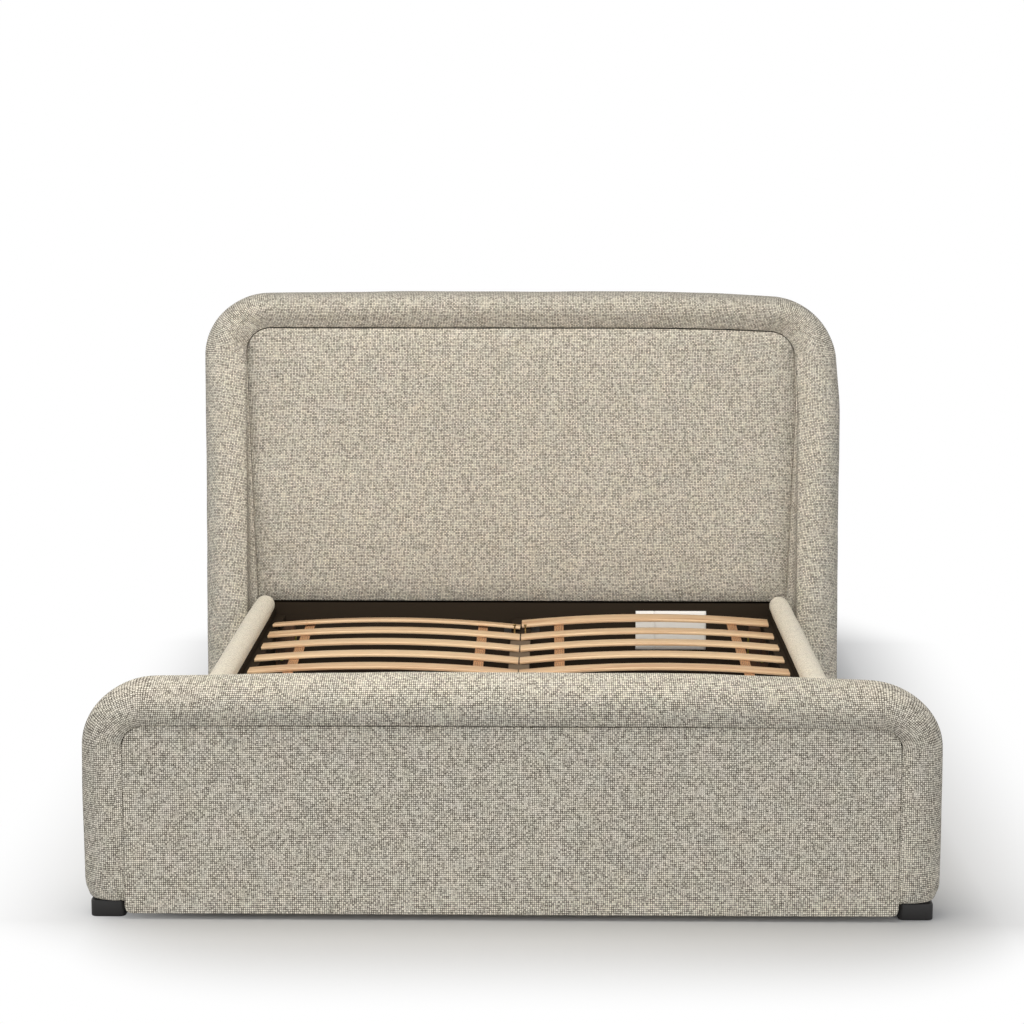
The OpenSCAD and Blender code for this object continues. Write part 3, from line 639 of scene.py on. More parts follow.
def head_section(w, z, hem, up):
    """Section of the headboard's border as (distance out from the crease, depth). It curves out of
    the panel, climbs the wing's inner wall and rolls over the lip."""
    front, peak, out = wing_front(z) + hem, (0.47 + 0.20 * up) * w, w - hem
    wall, seat = wing_wall(z), panel_face(z) + 0.001 + 0.006 * up
    back = HEAD_HIGH[1]
    lip = min(LIP_DROP, seat - front)
    soft = max(0.0, 1 - wall / 0.020)
    foot, edge = Vector((-wall, seat)), Vector((0.0, front + lip))
    points = [(-wall, CORE_FRONT), (-wall, (CORE_FRONT + seat) / 2), (-wall, seat + 0.006)]
    climb = edge.y - foot.y
    bends = (foot, foot + Vector((0.85 * wall, 0.0)), edge - Vector((0.06 * wall, 0.55 * climb)), edge)
    for t in even(0, 1, 9)[:-1]:
        shares = ((1 - t) ** 3, 3 * t * (1 - t) ** 2, 3 * t * t * (1 - t), t ** 3)
        p = sum((b * share for b, share in zip(bends, shares)), Vector((0.0, 0.0)))
        points.append((p.x, p.y))
    for a in even(0, pi / 2, 10):
        t = 2 * a / pi
        round_way = (peak - peak * cos(a), lip * (1 - sin(a)))
        slope_way = (peak * t, lip * (0.5 + 0.5 * cos(pi * t)))
        points.append((round_way[0] * (1 - soft) + slope_way[0] * soft,
                       front + round_way[1] * (1 - soft) + slope_way[1] * soft))
    points += [(peak + (out - peak) * cos(a), front + SIDE_ROUND * (1 - sin(a)))
               for a in even(pi / 2, 0, 10)[1:]]
    side_end = back - BACK_ROUND
    points += [(out, front + SIDE_ROUND + (side_end - front - SIDE_ROUND) * k / 5) for k in range(1, 5)]
    points += [(out - BACK_ROUND * (1 - cos(a)), back - BACK_ROUND * (1 - sin(a)))
               for a in even(0, pi / 2, 4)]
    points += [(out * 0.4, back), (0.004, back), (0, back - 0.002), (0, (back + CORE_BACK) / 2),
               (0, CORE_BACK), (CORE_WRAP, CORE_BACK), (CORE_WRAP, CORE_FRONT)]
    return points


def foot_section(w, hem, up):
    """Section of the footboard's border. up is 0 at the flatter sides and 1 along the top."""
    front_face = FOOT_LOW[1]
    mid = front_face + ENDS_T / 2
    out, drop = w - hem, SIDE_SET * (1 - up)
    peak, front = w * (0.2 + 0.14 * up), front_face + hem + drop
    core_f, core_b, back = -CORE_BACK, -CORE_FRONT, -WELL_END
    fall = PANEL_SET - drop
    points = [(0, core_f), (0.0005, (core_f + front_face) / 2),
              (0.0005, front_face + hem + PANEL_SET + 0.002 + 0.008 * up)]
    for a in even(0.1, pi / 2, 9):
        t = 2 * a / pi
        points.append((peak - peak * cos(a), front + fall * ((1 - sin(a)) * up
                       + (0.5 + 0.5 * cos(pi * (1 - cos(a)))) * (1 - up))))
    points += [(peak + (out - peak) * cos(a), mid - (mid - front) * sin(a))
               for a in even(pi / 2, 0, 12)[1:]]
    points += [(peak + (out - peak) * cos(a), mid + (back - hem - mid) * sin(a))
               for a in even(0, pi / 2, 12)[1:]]
    points += [(peak * 0.5, back - hem), (0.001, back - hem - 0.0008), (0, back - hem - 0.012),
               (0, core_b), (CORE_WRAP, core_b), (CORE_WRAP, core_f)]
    return points


def border(name, path, section, finish, seam, fold=(), top_shade=0.0):
    """Loft of a section round a U, with the weave running along it. fold gives the painted shade
    at the section's first points, where the border runs down a side, and the argument after it
    the painted shade along the top."""
    rings, us, run, painted_shade = [], [], 0.0, []
    for i, (outer, crease, hem) in enumerate(path):
        w = hypot(outer[0] - crease[0], outer[1] - crease[1])
        way = ((outer[0] - crease[0]) / w, (outer[1] - crease[1]) / w)
        up = max(0.0, (outer[1] - crease[1]) / w)
        points = section(w, crease[1], hem, up)
        # Painted shade: fold's values down the sides, fading into the top value along the top.
        shares = list(fold) + [0.0] * (len(points) - len(fold))
        painted_shade.append([share * (1 - up) + top_shade * up for share in shares])
        rings.append([(crease[0] + way[0] * d, y, crease[1] + way[1] * d) for d, y in points])
        middle = Vector(((outer[0] + crease[0]) / 2, (outer[1] + crease[1]) / 2))
        if i:
            run += (middle - before).length
        before = middle
        us.append(run)
    return loft(name, rings, finish, us, seam, painted_shade)


def crease_distance(x, z, side, top, crease_r, h):
    """How far a point lies outside the crease line."""
    box = (-HALF_W + side, HALF_W - side, -h, h - top)
    return -edge_distance(x, z, box, crease_r, 0.0)


def pucker_border(made, crease, seed):
    """Small folds that start at the crease, and a slow unevenness of the padding."""
    depth = sizes().pucker
    for v, normal in [(v, v.normal.copy()) for v in made.data.vertices]:
        d = crease_distance(v.co.x, v.co.z, *crease)
        if d < 0.004 or v.co.z < FEET_H + 0.004:
            continue
        near = max(0.0, 1 - d / 0.05)
        fold = wrinkle(v.co, 0.030, seed) * depth * near * 2.0
        slow = wrinkle(v.co, 0.28, seed + 3) * 0.0022 + wrinkle(v.co, 0.11, seed + 7) * 0.0009
        v.co += normal * (fold + slow) * min(1.0, d / 0.02)


def edge_roll(d, r):
    """How far a pad's rounded edge falls back at the distance d from its outline."""
    return r - sqrt(r * r - (r - d) ** 2) if d < r else 0.0


# ---------- headboard ----------

def slump_headboard(made):
    """The right shoulder of the padding leans in a little."""
    for v in made.data.vertices:
        share = rise(v.co.z, 0.93, 1.20)
        v.co.x -= sizes().shoulder * share * rise(v.co.x, 0.50, 1.0)
        v.co.z -= 0.010 * share * rise(v.co.x, 0.60, 0.95)
        v.co.z -= 0.005 * rise(v.co.z, 1.10, 1.20) * rise(v.co.x, 0.35, 0.80)


def head_border():
    """The border round the headboard, with its swept wings. Painted shade darkens the cover up the
    wings' inner walls and along the top."""
    # Painted shade up the wings' inner walls, darkest by the lip; the 0.12 below is painted shade along
    # the top.
    painted_shade = (0.10,) * 6 + (0.12, 0.14, 0.17, 0.21, 0.28, 0.38, 0.34, 0.10)
    bolster = border("headboard_bolster", u_path(HEAD_H, HEAD_SIDE, HEAD_TOP, HEAD_R, HEAD_CREASE_R),
                     head_section, "oatmeal_cloth", 3, painted_shade, 0.12)
    inflate(bolster, lambda p: p.y > HEAD_HIGH[1] - 0.03 or abs(p.x) > HALF_W - 0.004
            or p.z > HEAD_H - 0.012 or crease_distance(p.x, p.z, *HEAD_CREASE) < 0.004, sizes().puff)
    pucker_border(bolster, HEAD_CREASE, 2.0)
    slump_headboard(bolster)
    subdivide(bolster)
    declare(bolster, "frame", ["headboard_border"])


def head_panel():
    """The sunk panel. Its sides run on under the border, but for the top and its corners."""
    half, z0, z1 = HALF_W - HEAD_SIDE - FIT, PANEL_LOW, HEAD_H - HEAD_TOP - FIT

    def draw_in(x, z):
        up = rise(z, z1 - 0.11, z1 - 0.05)
        return x * (half + 0.005 * (1 - up) - wing_wall(z)) / half, up

    def place(x, z, d):
        x, up = draw_in(x, z)
        y = panel_face(z)
        sink = up * edge_roll(d, 0.010)
        sink -= up * sizes().welt * sin(pi * min(1.0, d / 0.008))
        swell = 0.008 * (1 - max(0.0, 1 - d / 0.26) ** 2)
        swell -= 0.012 * (1 - up) * max(0.0, 1 - d / 0.055) ** 2
        edge = max(0.0, 1 - d / 0.09)
        uneven = wrinkle((x, y, z), 0.26, 5.0) * 0.0025 + wrinkle((x, y, z), 0.05, 9.0) * 0.0012 * edge
        return (x, y + 0.6 * sink - swell - uneven * min(1, d / 0.03), z)

    def painted_shade(x, z):
        """Painted shade beside each wing: a narrow strip above and a wide patch low down, the left one
        darker. The upper panel also gets a little painted shade towards its top.
        """
        off = half - abs(x)
        share = (0.40 if x < 0 else 0.24) * max(0.0, 1 - off / 0.06) ** 2
        low = rise(-z, -0.85, -0.45) * max(0.0, 1 - off / 0.22)
        share *= 0.25 + 0.75 * rise(z, 0.65, 0.90)
        share *= 1 - rise(z, z1 - 0.07, z1)
        return share + (0.16 if x < 0 else 0.05) * low + 0.06 * rise(z, 0.60, 1.05)

    front = pad("headboard_pad", (-half, half, z0, z1), HEAD_CREASE_R, 0.0, place,
                lambda x, z: (draw_in(x, z)[0], CORE_FRONT, z), painted_shade)
    inflate(front, lambda p: p.y > WELL_END + 0.018, sizes().puff * 0.6)
    slump_headboard(front)
    subdivide(front)
    declare(front, "frame", ["headboard_panel"])


class BED_OT_headboard(bpy.types.Operator):
    """Builds the headboard's padded border with its two wings, and its sunk panel"""
    bl_idname = "bed.headboard"
    bl_label = "Headboard"

    def execute(self, context):
        head_border()
        head_panel()
        return {"FINISHED"}


# ---------- footboard ----------

def slump_footboard(made):
    """The roll's corners sit a little lower than its middle, the right one more."""
    for v in made.data.vertices:
        share = rise(v.co.z, 0.40, 0.56) * rise(abs(v.co.x), 0.30, 0.95)
        v.co.z -= (0.011 if v.co.x > 0 else 0.006) * share


def foot_roll():
    """The roll round the footboard."""
    # Painted shade of 0.05 darkens the roll's top.
    roll = border("footboard_roll", u_path(FOOT_H, FOOT_SIDE, FOOT_TOP, FOOT_R, FOOT_CREASE_R),
                  lambda w, z, hem, up: foot_section(w, hem, up), "oatmeal_cloth", 2, top_shade=0.05)
    inflate(roll, lambda p: abs(p.x) > HALF_W - 0.004 or p.z > FOOT_H - 0.006
            or crease_distance(p.x, p.z, *FOOT_CREASE) < 0.006, sizes().puff * 0.5)
    pucker_border(roll, FOOT_CREASE, 4.0)
    slump_footboard(roll)
    subdivide(roll)
    declare(roll, "frame", ["footboard_border"])


def foot_panel(name, z0, r_low, face, back, node):
    """One of the two panels. Its sides run on under the roll, but for the top and its corners."""
    half, z1 = HALF_W - FOOT_SIDE - FIT, FOOT_H - FOOT_TOP - FIT
    way = 1 if face < back else -1

    def under(x, z):
        return x * (half + 0.0015 * (1 - rise(z, z1 - 0.09, z1 - 0.04))) / half

    def place(x, z, d):
        x, top = under(x, z), rise(z, z1 - 0.07, z1 - 0.02)
        sink = edge_roll(d, 0.0015 + 0.006 * max(top, rise(z0 + 0.02 - z, 0.0, 0.02)))
        sink -= top * sizes().welt * sin(pi * min(1.0, d / 0.007))
        uneven = wrinkle((x, face, z), 0.24, 11.0) * 0.0016
        near = max(0.0, 1 - (z1 - z) / 0.06) * wrinkle((x, face, z), 0.03, 13.0) * 0.0012
        return (x, face + way * (0.6 * sink + abs(uneven) + abs(near)), z)

    sheet = pad(name, (-half, half, z0, z1), FOOT_CREASE_R, r_low, place,
                lambda x, z: (under(x, z), back, z))
    subdivide(sheet)
    declare(sheet, "frame", [node])


class BED_OT_footboard(bpy.types.Operator):
    """Builds the low footboard: its roll and its two panels"""
    bl_idname = "bed.footboard"
    bl_label = "Footboard"

    def execute(self, context):
        foot_roll()
        foot_panel("footboard_front_pad", FRONT_PAD_LOW[2], 0.020, FRONT_PAD_LOW[1], -CORE_BACK,
                   "footboard_front_panel")
        foot_panel("footboard_inner_pad", INNER_PAD_LOW[2], 0.0, INNER_PAD_HIGH[1], -CORE_FRONT,
                   "footboard_inner_panel")
        return {"FINISHED"}


# ---------- side rails ----------

def rail_covers():
    """The padded covers of both side rails. Each ends in a round nose beside the headboard."""
    r = (RAIL_HIGH[0] - RAIL_LOW[0]) / 2
    cx, cz = RAIL_LOW[0] + r, RAIL_HIGH[2] - r
    inner, top = BOARD_HIGH[0] + FIT, BOARD_HIGH[2] + FIT
    low, end, start = RAIL_LOW[2], RAIL_HIGH[1], RAIL_LOW[1]
    a0 = pi + asin((cz - top) / r)

    def ring(y):
        """Section of the right cover. c is how wide it is, as a share, where the nose closes."""
        t = max(0.0, (y - (end - r)) / r)
        c = max(sqrt(max(0.0, 1 - t * t)), 0.12)
        points = []
        for a in even(a0, 0, 26):
            fold = 1 + 0.05 * t * sin(9 * a + 1.0) * min(1.0, t * 2)
            points.append((cx + r * c * fold * cos(a), cz + r * c * fold * sin(a)))
        for k in range(1, 15):
            z = cz + (low + 0.006 - cz) * k / 14
            full = min(1.0, (cz - z) / 0.05)
            points.append((cx + r * (c + (1 - c) * full), z))
        points += [(RAIL_HIGH[0] - 0.004, low), ((inner + RAIL_HIGH[0]) / 2, low), (inner, low),
                   (inner, (low + top) / 2), (inner, top - 0.02), (inner, top)]
        points += [(inner + (cx + r * c * cos(a0) - inner) * k / 3, top) for k in (1, 2)]
        return points

    ys = even(start - 0.008, end - r, 84) + [end - r + r * sin(a) for a in even(0, pi / 2, 9)[1:]]
    for side, sign in SIDES.items():
        rings = [[(sign * x, y, z) for x, z in ring(y)] for y in ys]
        cover = loft("rail_pad_" + side, rings, "rail_cloth", ys)
        for v, normal in [(v, v.normal.copy()) for v in cover.data.vertices]:
            if abs(v.co.x) > inner + 0.003 or v.co.z > top + 0.004:
                near_nose = max(0.0, 1 - (end - v.co.y) / 0.25)
                slow = wrinkle(v.co, 0.16, 21.0 + sign) * 0.0018
                ripple = wrinkle((v.co.x * 0.4, v.co.y, v.co.z * 0.4), 0.035, 25.0) \
                    * (0.0005 + 0.0016 * near_nose)
                v.co += normal * (min(0.0, slow) + min(0.0, ripple))
        inflate(cover, lambda p: abs(p.x) < inner + 0.004 and p.z < top + 0.003
                or p.y < start + 0.02, sizes().puff * 0.4, 3.0)
        subdivide(cover)
        declare(cover, "frame", ["rail_cover_" + side])


class BED_OT_side_rails(bpy.types.Operator):
    """Builds the padded covers of the side rails with their round noses"""
    bl_idname = "bed.side_rails"
    bl_label = "Side rails"

    def execute(self, context):
        rail_covers()
        return {"FINISHED"}


# ---------- slats ----------

def on_each_point(tree, get, out, piece, lots=False):
    """Puts the piece on each point with that point's turn, and gives it the tree's finish. With
    lots, each one also keeps a chance value that its finish reads."""
    turn = put(tree, "GeometryNodeInputNamedAttribute", {"Name": "turn"}, data_type="FLOAT_VECTOR")[0]
    made = put(tree, "GeometryNodeInstanceOnPoints", {
        "Points": get["Geometry"], "Instance": piece, "Rotation": turn})[0]
    if lots:
        lot = put(tree, "FunctionNodeRandomValue", {"Seed": 7}, data_type="FLOAT")[1]
        made = put(tree, "GeometryNodeStoreNamedAttribute", {
            "Geometry": made, "Name": "lot", "Value": lot}, data_type="FLOAT", domain="INSTANCE")[0]
    made = put(tree, "GeometryNodeRealizeInstances", {"Geometry": made})[0]
    made = put(tree, "GeometryNodeSetMaterial", {"Geometry": made, "Material": get["Finish"]})[0]
    feed(tree, out, {0: made})


def ends_of(tree, half):
    """Start and end of a line of that half length along X, centred on nought."""
    return {"Start": combine(tree, maths(tree, "MULTIPLY", half, -1.0)), "End": combine(tree, half)}


def slat_tree():
    """A bowed strip with rounded long edges on each point of the given mesh."""
    tree, get, out = node_group("bowed_slats", "GeometryNodeTree", {
        "Geometry": ("Geometry", None), "Length": ("Float", 0.77), "Width": ("Float", 0.064),
        "Thickness": ("Float", 0.009), "Bow": ("Float", 0.019), "Rounding": ("Float", 0.003),
        "Finish": ("Material", None)}, {"Geometry": "Geometry"})
    half = maths(tree, "DIVIDE", get["Length"], 2.0)
    arc = put(tree, "GeometryNodeCurveArc", {
        **ends_of(tree, half), "Middle": combine(tree, z=get["Bow"]), "Resolution": 33},
        mode="POINTS")["Curve"]
    flat = put(tree, "GeometryNodeCurvePrimitiveQuadrilateral", {
        "Width": get["Width"], "Height": get["Thickness"]}, mode="RECTANGLE")[0]
    section = put(tree, "GeometryNodeFilletCurve", {
        "Curve": flat, "Radius": get["Rounding"], "Count": 3, "Limit Radius": True}, mode="POLY")[0]
    strip = put(tree, "GeometryNodeCurveToMesh", {
        "Curve": arc, "Profile Curve": section, "Fill Caps": True})[0]
    on_each_point(tree, get, out, strip, lots=True)
    return tree


def from_points(name, points, turns, tree, values):
    """Runs a Geometry Nodes tree on bare points, each with its own turn about the three axes, and
    keeps the result as a plain mesh object."""
    mesh = bpy.data.meshes.new(name)
    mesh.from_pydata(points, [], [])
    held = mesh.attributes.new("turn", "FLOAT_VECTOR", "POINT")
    for item, value in zip(held.data, turns):
        item.vector = value
    made = add_object(name, mesh)
    live = made.modifiers.new("build", "NODES")
    live.node_group = tree
    for item in tree.interface.items_tree:
        if item.in_out == "INPUT" and item.name in values:
            live[item.identifier] = values[item.name]
    graph = bpy.context.evaluated_depsgraph_get()
    plain = bpy.data.meshes.new_from_object(made.evaluated_get(graph), depsgraph=graph)
    plain.name = name
    made.modifiers.remove(live)
    made.data = plain
    bpy.data.meshes.remove(mesh)
    return made


def shade_by_angle(made, angle):
    """Smooth faces with hard edges where they turn more than angle."""
    mesh = made.data
    mesh.polygons.foreach_set("use_smooth", [True] * len(mesh.polygons))
    mesh.set_sharp_from_angle(angle=angle)


def slat_places(side, sign):
    """Measures of one set, and the middle and turn of each slat. The slats fall from the ledge to
    the beam's felt, and the first one is also tipped about its length."""
    names = ["slat_%s_%d" % (side, i) for i in range(1, 12)]
    low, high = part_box(names[1])
    m = SimpleNamespace(names=names, tape=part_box("webbing_" + side), middle_x=(low[0] + high[0]) / 2,
                        middle_z=(LEDGE_TOP + FELT_TOP) / 2, length=high[0] - low[0],
                        width=high[1] - low[1], bow=sizes().slat_bow, points=[], turns=[])
    m.thick = high[2] - m.middle_z - m.bow
    m.fall = -sign * asin((LEDGE_TOP - FELT_TOP) / m.length)
    for name in names:
        twist = sign * sizes().slat_twist if name.endswith("_1") else 0.0
        front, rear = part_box(name)[0][1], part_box(name)[1][1]
        pivot = rear - m.width * cos(twist) if twist >= 0 else front + m.width * cos(twist)
        half = m.width / 2 if twist >= 0 else -m.width / 2
        lift = Vector((0.0, half * cos(twist) - m.thick / 2 * sin(twist),
                       half * sin(twist) + m.thick / 2 * cos(twist)))
        lift.rotate(Euler((0.0, m.fall, 0.0)))
        m.points.append(Vector((m.middle_x, pivot, m.middle_z)) + lift)
        m.turns.append((twist, m.fall, 0.0))
    return m


def slat_set(side, m, tree):
    """The slats of one side, as one piece."""
    slats = from_points("slats_" + side, m.points, m.turns, tree, {
        "Length": m.length, "Width": m.width, "Thickness": m.thick, "Bow": m.bow,
        "Rounding": sizes().slat_round, "Finish": material("beech")})
    shade_by_angle(slats, HARD_EDGE)
    declare(slats, side + "_slat_set", m.names)


TAPE_HALF, TAPE_THICK, TAPE_CURL = 0.015, 0.0016, 0.0004
TAPE_SHARES = (0.15, 0.85)          # where the two tapes cross a slat, as shares of its length
TAPE_ACROSS = (-1, -0.86, -0.4, 0, 0.4, 0.86, 1)
TAPE_SECTION = [(u, 0) for u in TAPE_ACROSS] + [(-u, 1) for u in TAPE_ACROSS]


def sag(y, centres, width):
    """How far a tape hangs at y, where the slats that carry it have those centres."""
    gap = 0.0
    for a, b in zip(centres, centres[1:]):
        free = b - a - width
        t = (y - a - width / 2) / free if free > 0 else -1
        if 0 < t < 1:
            gap = sizes().tape_sag * min(1.0, free / 0.1) * 4 * t * (1 - t)
    return gap


def webbing(side, sign, m):
    """The two tapes that run under one side's slats and join them."""
    half = m.length / 2
    arc_r = (half * half + m.bow * m.bow) / (2 * m.bow)
    centres = sorted(p[1] for p in m.points)
    ys = even(m.tape[0][1], m.tape[1][1], 330)
    bm = bmesh.new()
    bm.loops.layers.uv.new("weave")
    for share in TAPE_SHARES:
        d = (share - 0.5) * m.length * sign
        tilt = d / arc_r + m.fall
        z = m.middle_z - d * sin(m.fall) + sqrt(arc_r ** 2 - d * d) - (arc_r - m.bow) - FIT
        rows = []
        for y in ys:
            row, hung = [], z - sag(y, centres, m.width)
            for u, under in TAPE_SECTION:
                curl = TAPE_CURL * (abs(u) > 0.8)
                across = u * TAPE_HALF
                h = hung - under * (TAPE_THICK - 2 * curl) - curl
                row.append(bm.verts.new((m.middle_x + d + across * cos(tilt), y, h - across * sin(tilt))))
            rows.append(row)
        skin(bm, rows, lambda a, b: (ys[a], b * 0.0025))
    tape = finish_mesh("webbing_tape_" + side, bm, "webbing_tape")
    declare(tape, side + "_slat_set", ["webbing_" + side])


class BED_OT_slats(bpy.types.Operator):
    """Builds both sets of bowed slats and the webbing that joins each set"""
    bl_idname = "bed.slats"
    bl_label = "Slats"

    def execute(self, context):
        tree = slat_tree()
        for side, sign in SIDES.items():
            measures = slat_places(side, sign)
            slat_set(side, measures, tree)
            webbing(side, sign, measures)
        return {"FINISHED"}


# ---------- fittings ----------

FINISH_NODES = {
    "lining_cloth": ["headboard_back"],
    "plywood": ["headboard_core", "footboard_core"],
    "pine_posts": ["headboard_post_left", "headboard_post_right"],
    "black_board": ["headboard_cross_rail", "footboard_cross_rail", "rail_board_left",
                    "rail_board_right", "slat_ledge_left", "slat_ledge_right", "centre_beam"],
    "black_lining": ["rail_lining_left", "rail_lining_right"],
    # Corner blocks: timber darkened as painted shade.
    "raw_timber": ["corner_blocks"],
    "zinc_steel": ["corner_angles", "head_hanger", "foot_hanger", "hanger_screws"],
    "yellow_zinc": ["corner_bolts"],
    "felt_cloth": ["beam_felt"],
    "black_paint": ["centre_leg_head", "centre_leg_foot"],
    "black_plastic": ["glide_head", "glide_foot"],
}


def block(bm, low, high, r, edge):
    """Upright block with rounded corners and softened upper and lower edges."""
    cx, cy = (low[0] + high[0]) / 2, (low[1] + high[1]) / 2
    hx, hy = (high[0] - low[0]) / 2, (high[1] - low[1]) / 2

    def ring(z, inset):
        q = r - inset
        return [bm.verts.new((cx + sx * (hx - inset - q) + q * cos(a),
                              cy + sy * (hy - inset - q) + q * sin(a), z))
                for sx, sy, a0 in ((1, 1, 0), (-1, 1, pi / 2), (-1, -1, pi), (1, -1, 3 * pi / 2))
                for a in even(a0, a0 + pi / 2, 6)]

    levels = [(low[2], edge), (low[2] + edge * 0.3, edge * 0.3), (low[2] + edge, 0),
              (high[2] - edge, 0), (high[2] - edge * 0.3, edge * 0.3), (high[2], edge)]
    skin(bm, [ring(z, inset) for z, inset in levels])


def block_feet(name, nodes):
    """A pair of painted block feet."""
    bm = bmesh.new()
    low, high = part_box("footboard_foot_right")
    y_low, y_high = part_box(nodes[0])[0][1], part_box(nodes[0])[1][1]
    for sign in (-1, 1):
        xs = sorted((sign * low[0], sign * high[0]))
        block(bm, (xs[0], y_low, 0.0), (xs[1], y_high, high[2]), 0.014, 0.003)
    feet = finish_mesh(name, bm, "black_paint")
    shade_by_angle(feet, radians(40))
    declare(feet, "frame", nodes)


def turned(bm, base, profile):
    """Adds a turned shape that stands on base. profile lists (radius, height) from its foot up."""
    skin(bm, [[bm.verts.new((base[0] + r * cos(a), base[1] + r * sin(a), base[2] + h))
               for a in even(0, 2 * pi, 20)[:-1]] for r, h in profile])


def stop_screws():
    """Two countersunk screws with their threads and their sunk recess."""
    low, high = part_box("stop_screws")
    head_r, shank_r = (high[1] - low[1]) / 2, 0.0026
    length, pitch, tip = high[2] - low[2], 0.0022, 0.004
    bm = bmesh.new()
    for x in (low[0] + head_r, high[0] - head_r):
        profile = [(0.0006, 0.0), (shank_r * 0.7, tip)]
        for k in range(int((length * 0.72 - tip) / pitch)):
            h = tip + k * pitch
            profile += [(shank_r * 0.72, h + 0.0004), (shank_r, h + 0.0011), (shank_r * 0.72, h + 0.0018)]
        profile += [(shank_r * 0.85, length * 0.74), (shank_r * 0.85, length - 0.0062),
                    (head_r * 0.97, length - 0.0011), (head_r, length - 0.0007), (head_r * 0.94, length),
                    (head_r * 0.34, length - 0.0002), (head_r * 0.28, length - 0.0022)]
        turned(bm, (x, (low[1] + high[1]) / 2, low[2]), profile)
    screws = finish_mesh("stop_screw_pair", bm, "brass")
    shade_by_angle(screws, HARD_EDGE)
    declare(screws, "frame", ["stop_screws"])


def blank_sheet():
    """A bare sheet of paper, stuck to the front of the headboard's rail and folded once."""
    x0, x1, z0, z1 = 0.364, 0.589, 0.185, 0.310
    fold, ridge, thick, rows = x0 + 0.059, 0.003, 0.0004, 8
    bm = bmesh.new()
    columns = []
    for x in even(x0, fold - ridge, 8) + [fold] + even(fold + ridge, x1, 22):
        lift = 0.0007 + 0.0045 * max(0.0, 1 - abs(x - fold) / ridge) + 0.0006 * abs(sin(21 * x))
        face = CROSS_RAIL_FRONT - lift
        columns.append([(bm.verts.new((x, face, z)), bm.verts.new((x, face + thick, z)))
                        for z in even(z0, z1, rows)])
    for a, b in zip(columns, columns[1:]):
        for k in range(rows):
            bm.faces.new((a[k][0], b[k][0], b[k + 1][0], a[k + 1][0]))
            bm.faces.new((a[k][1], a[k + 1][1], b[k + 1][1], b[k][1]))
        bm.faces.new((a[0][0], a[0][1], b[0][1], b[0][0]))
        bm.faces.new((a[rows][0], b[rows][0], b[rows][1], a[rows][1]))
    for column, way in ((columns[0], 1), (columns[-1], -1)):
        for k in range(rows):
            bm.faces.new((column[k][0], column[k + 1][0], column[k + 1][1], column[k][1])[::way])
    sheet = finish_mesh("blank_sheet", bm, "blank_paper")
    declare(sheet, "frame")


def staple_tree():
    """A short straight wire on each point of the given mesh."""
    tree, get, out = node_group("lining_staples_row", "GeometryNodeTree", {
        "Geometry": ("Geometry", None), "Crown": ("Float", 0.01), "Wire": ("Float", 0.0006),
        "Finish": ("Material", None)}, {"Geometry": "Geometry"})
    half = maths(tree, "MULTIPLY", get["Crown"], 0.5)
    line = put(tree, "GeometryNodeCurvePrimitiveLine", ends_of(tree, half))[0]
    ring = put(tree, "GeometryNodeCurvePrimitiveCircle", {"Resolution": 6, "Radius": get["Wire"]})[0]
    wire = put(tree, "GeometryNodeCurveToMesh", {
        "Curve": line, "Profile Curve": ring, "Fill Caps": True})[0]
    on_each_point(tree, get, out, wire)
    return tree


def back_staples():
    """The row of staples that holds the lining round the headboard's back."""
    inset = 0.014
    half, top, y = HALF_W - HEAD_SIDE - inset, HEAD_H - HEAD_TOP - inset, HEAD_HIGH[1] + 0.0002
    r = HEAD_CREASE_R - inset
    points, turns = [], []
    for sign in (-1, 1):
        for z in even(FEET_H + 0.02, top - r, 32):
            points.append((sign * half, y, z))
            turns.append((0.0, pi / 2, 0.0))
        for a in even(0, pi / 2, 5)[1:-1]:
            points.append((sign * (half - r + r * cos(a)), y, top - r + r * sin(a)))
            turns.append((0.0, sign * (pi / 2 - a), 0.0))
    for x in even(-half + r, half - r, 46):
        points += [(x, y, top), (x, y, FEET_H + inset)]
        turns += [(0.0, 0.0, 0.0)] * 2
    made = from_points("lining_staples", points, turns, staple_tree(), {
        "Crown": 0.010, "Wire": 0.0006, "Finish": material("zinc_steel")})
    declare(made, "frame")


class BED_OT_fittings(bpy.types.Operator):
    """Finishes the boards, beam, hangers, legs and bolts, and builds the feet, screws and staples"""
    bl_idname = "bed.fittings"
    bl_label = "Fittings"

    def execute(self, context):
        for finish, nodes in FINISH_NODES.items():
            for node in nodes:
                for slot in NODES[node].material_slots:
                    slot.material = material(finish)
        block_feet("headboard_block_feet", ["headboard_feet"])
        block_feet("footboard_block_feet", ["footboard_foot_left", "footboard_foot_right"])
        stop_screws()
        blank_sheet()
        back_staples()
        return {"FINISHED"}


# ---------- stage ----------

def fade_from(tree, value, edge, slope):
    """How far a place lies outside an edge, times slope."""
    off = maths(tree, "MULTIPLY", maths(tree, "SUBTRACT", value, edge), slope)
    return maths(tree, "MAXIMUM", off, 0.0)


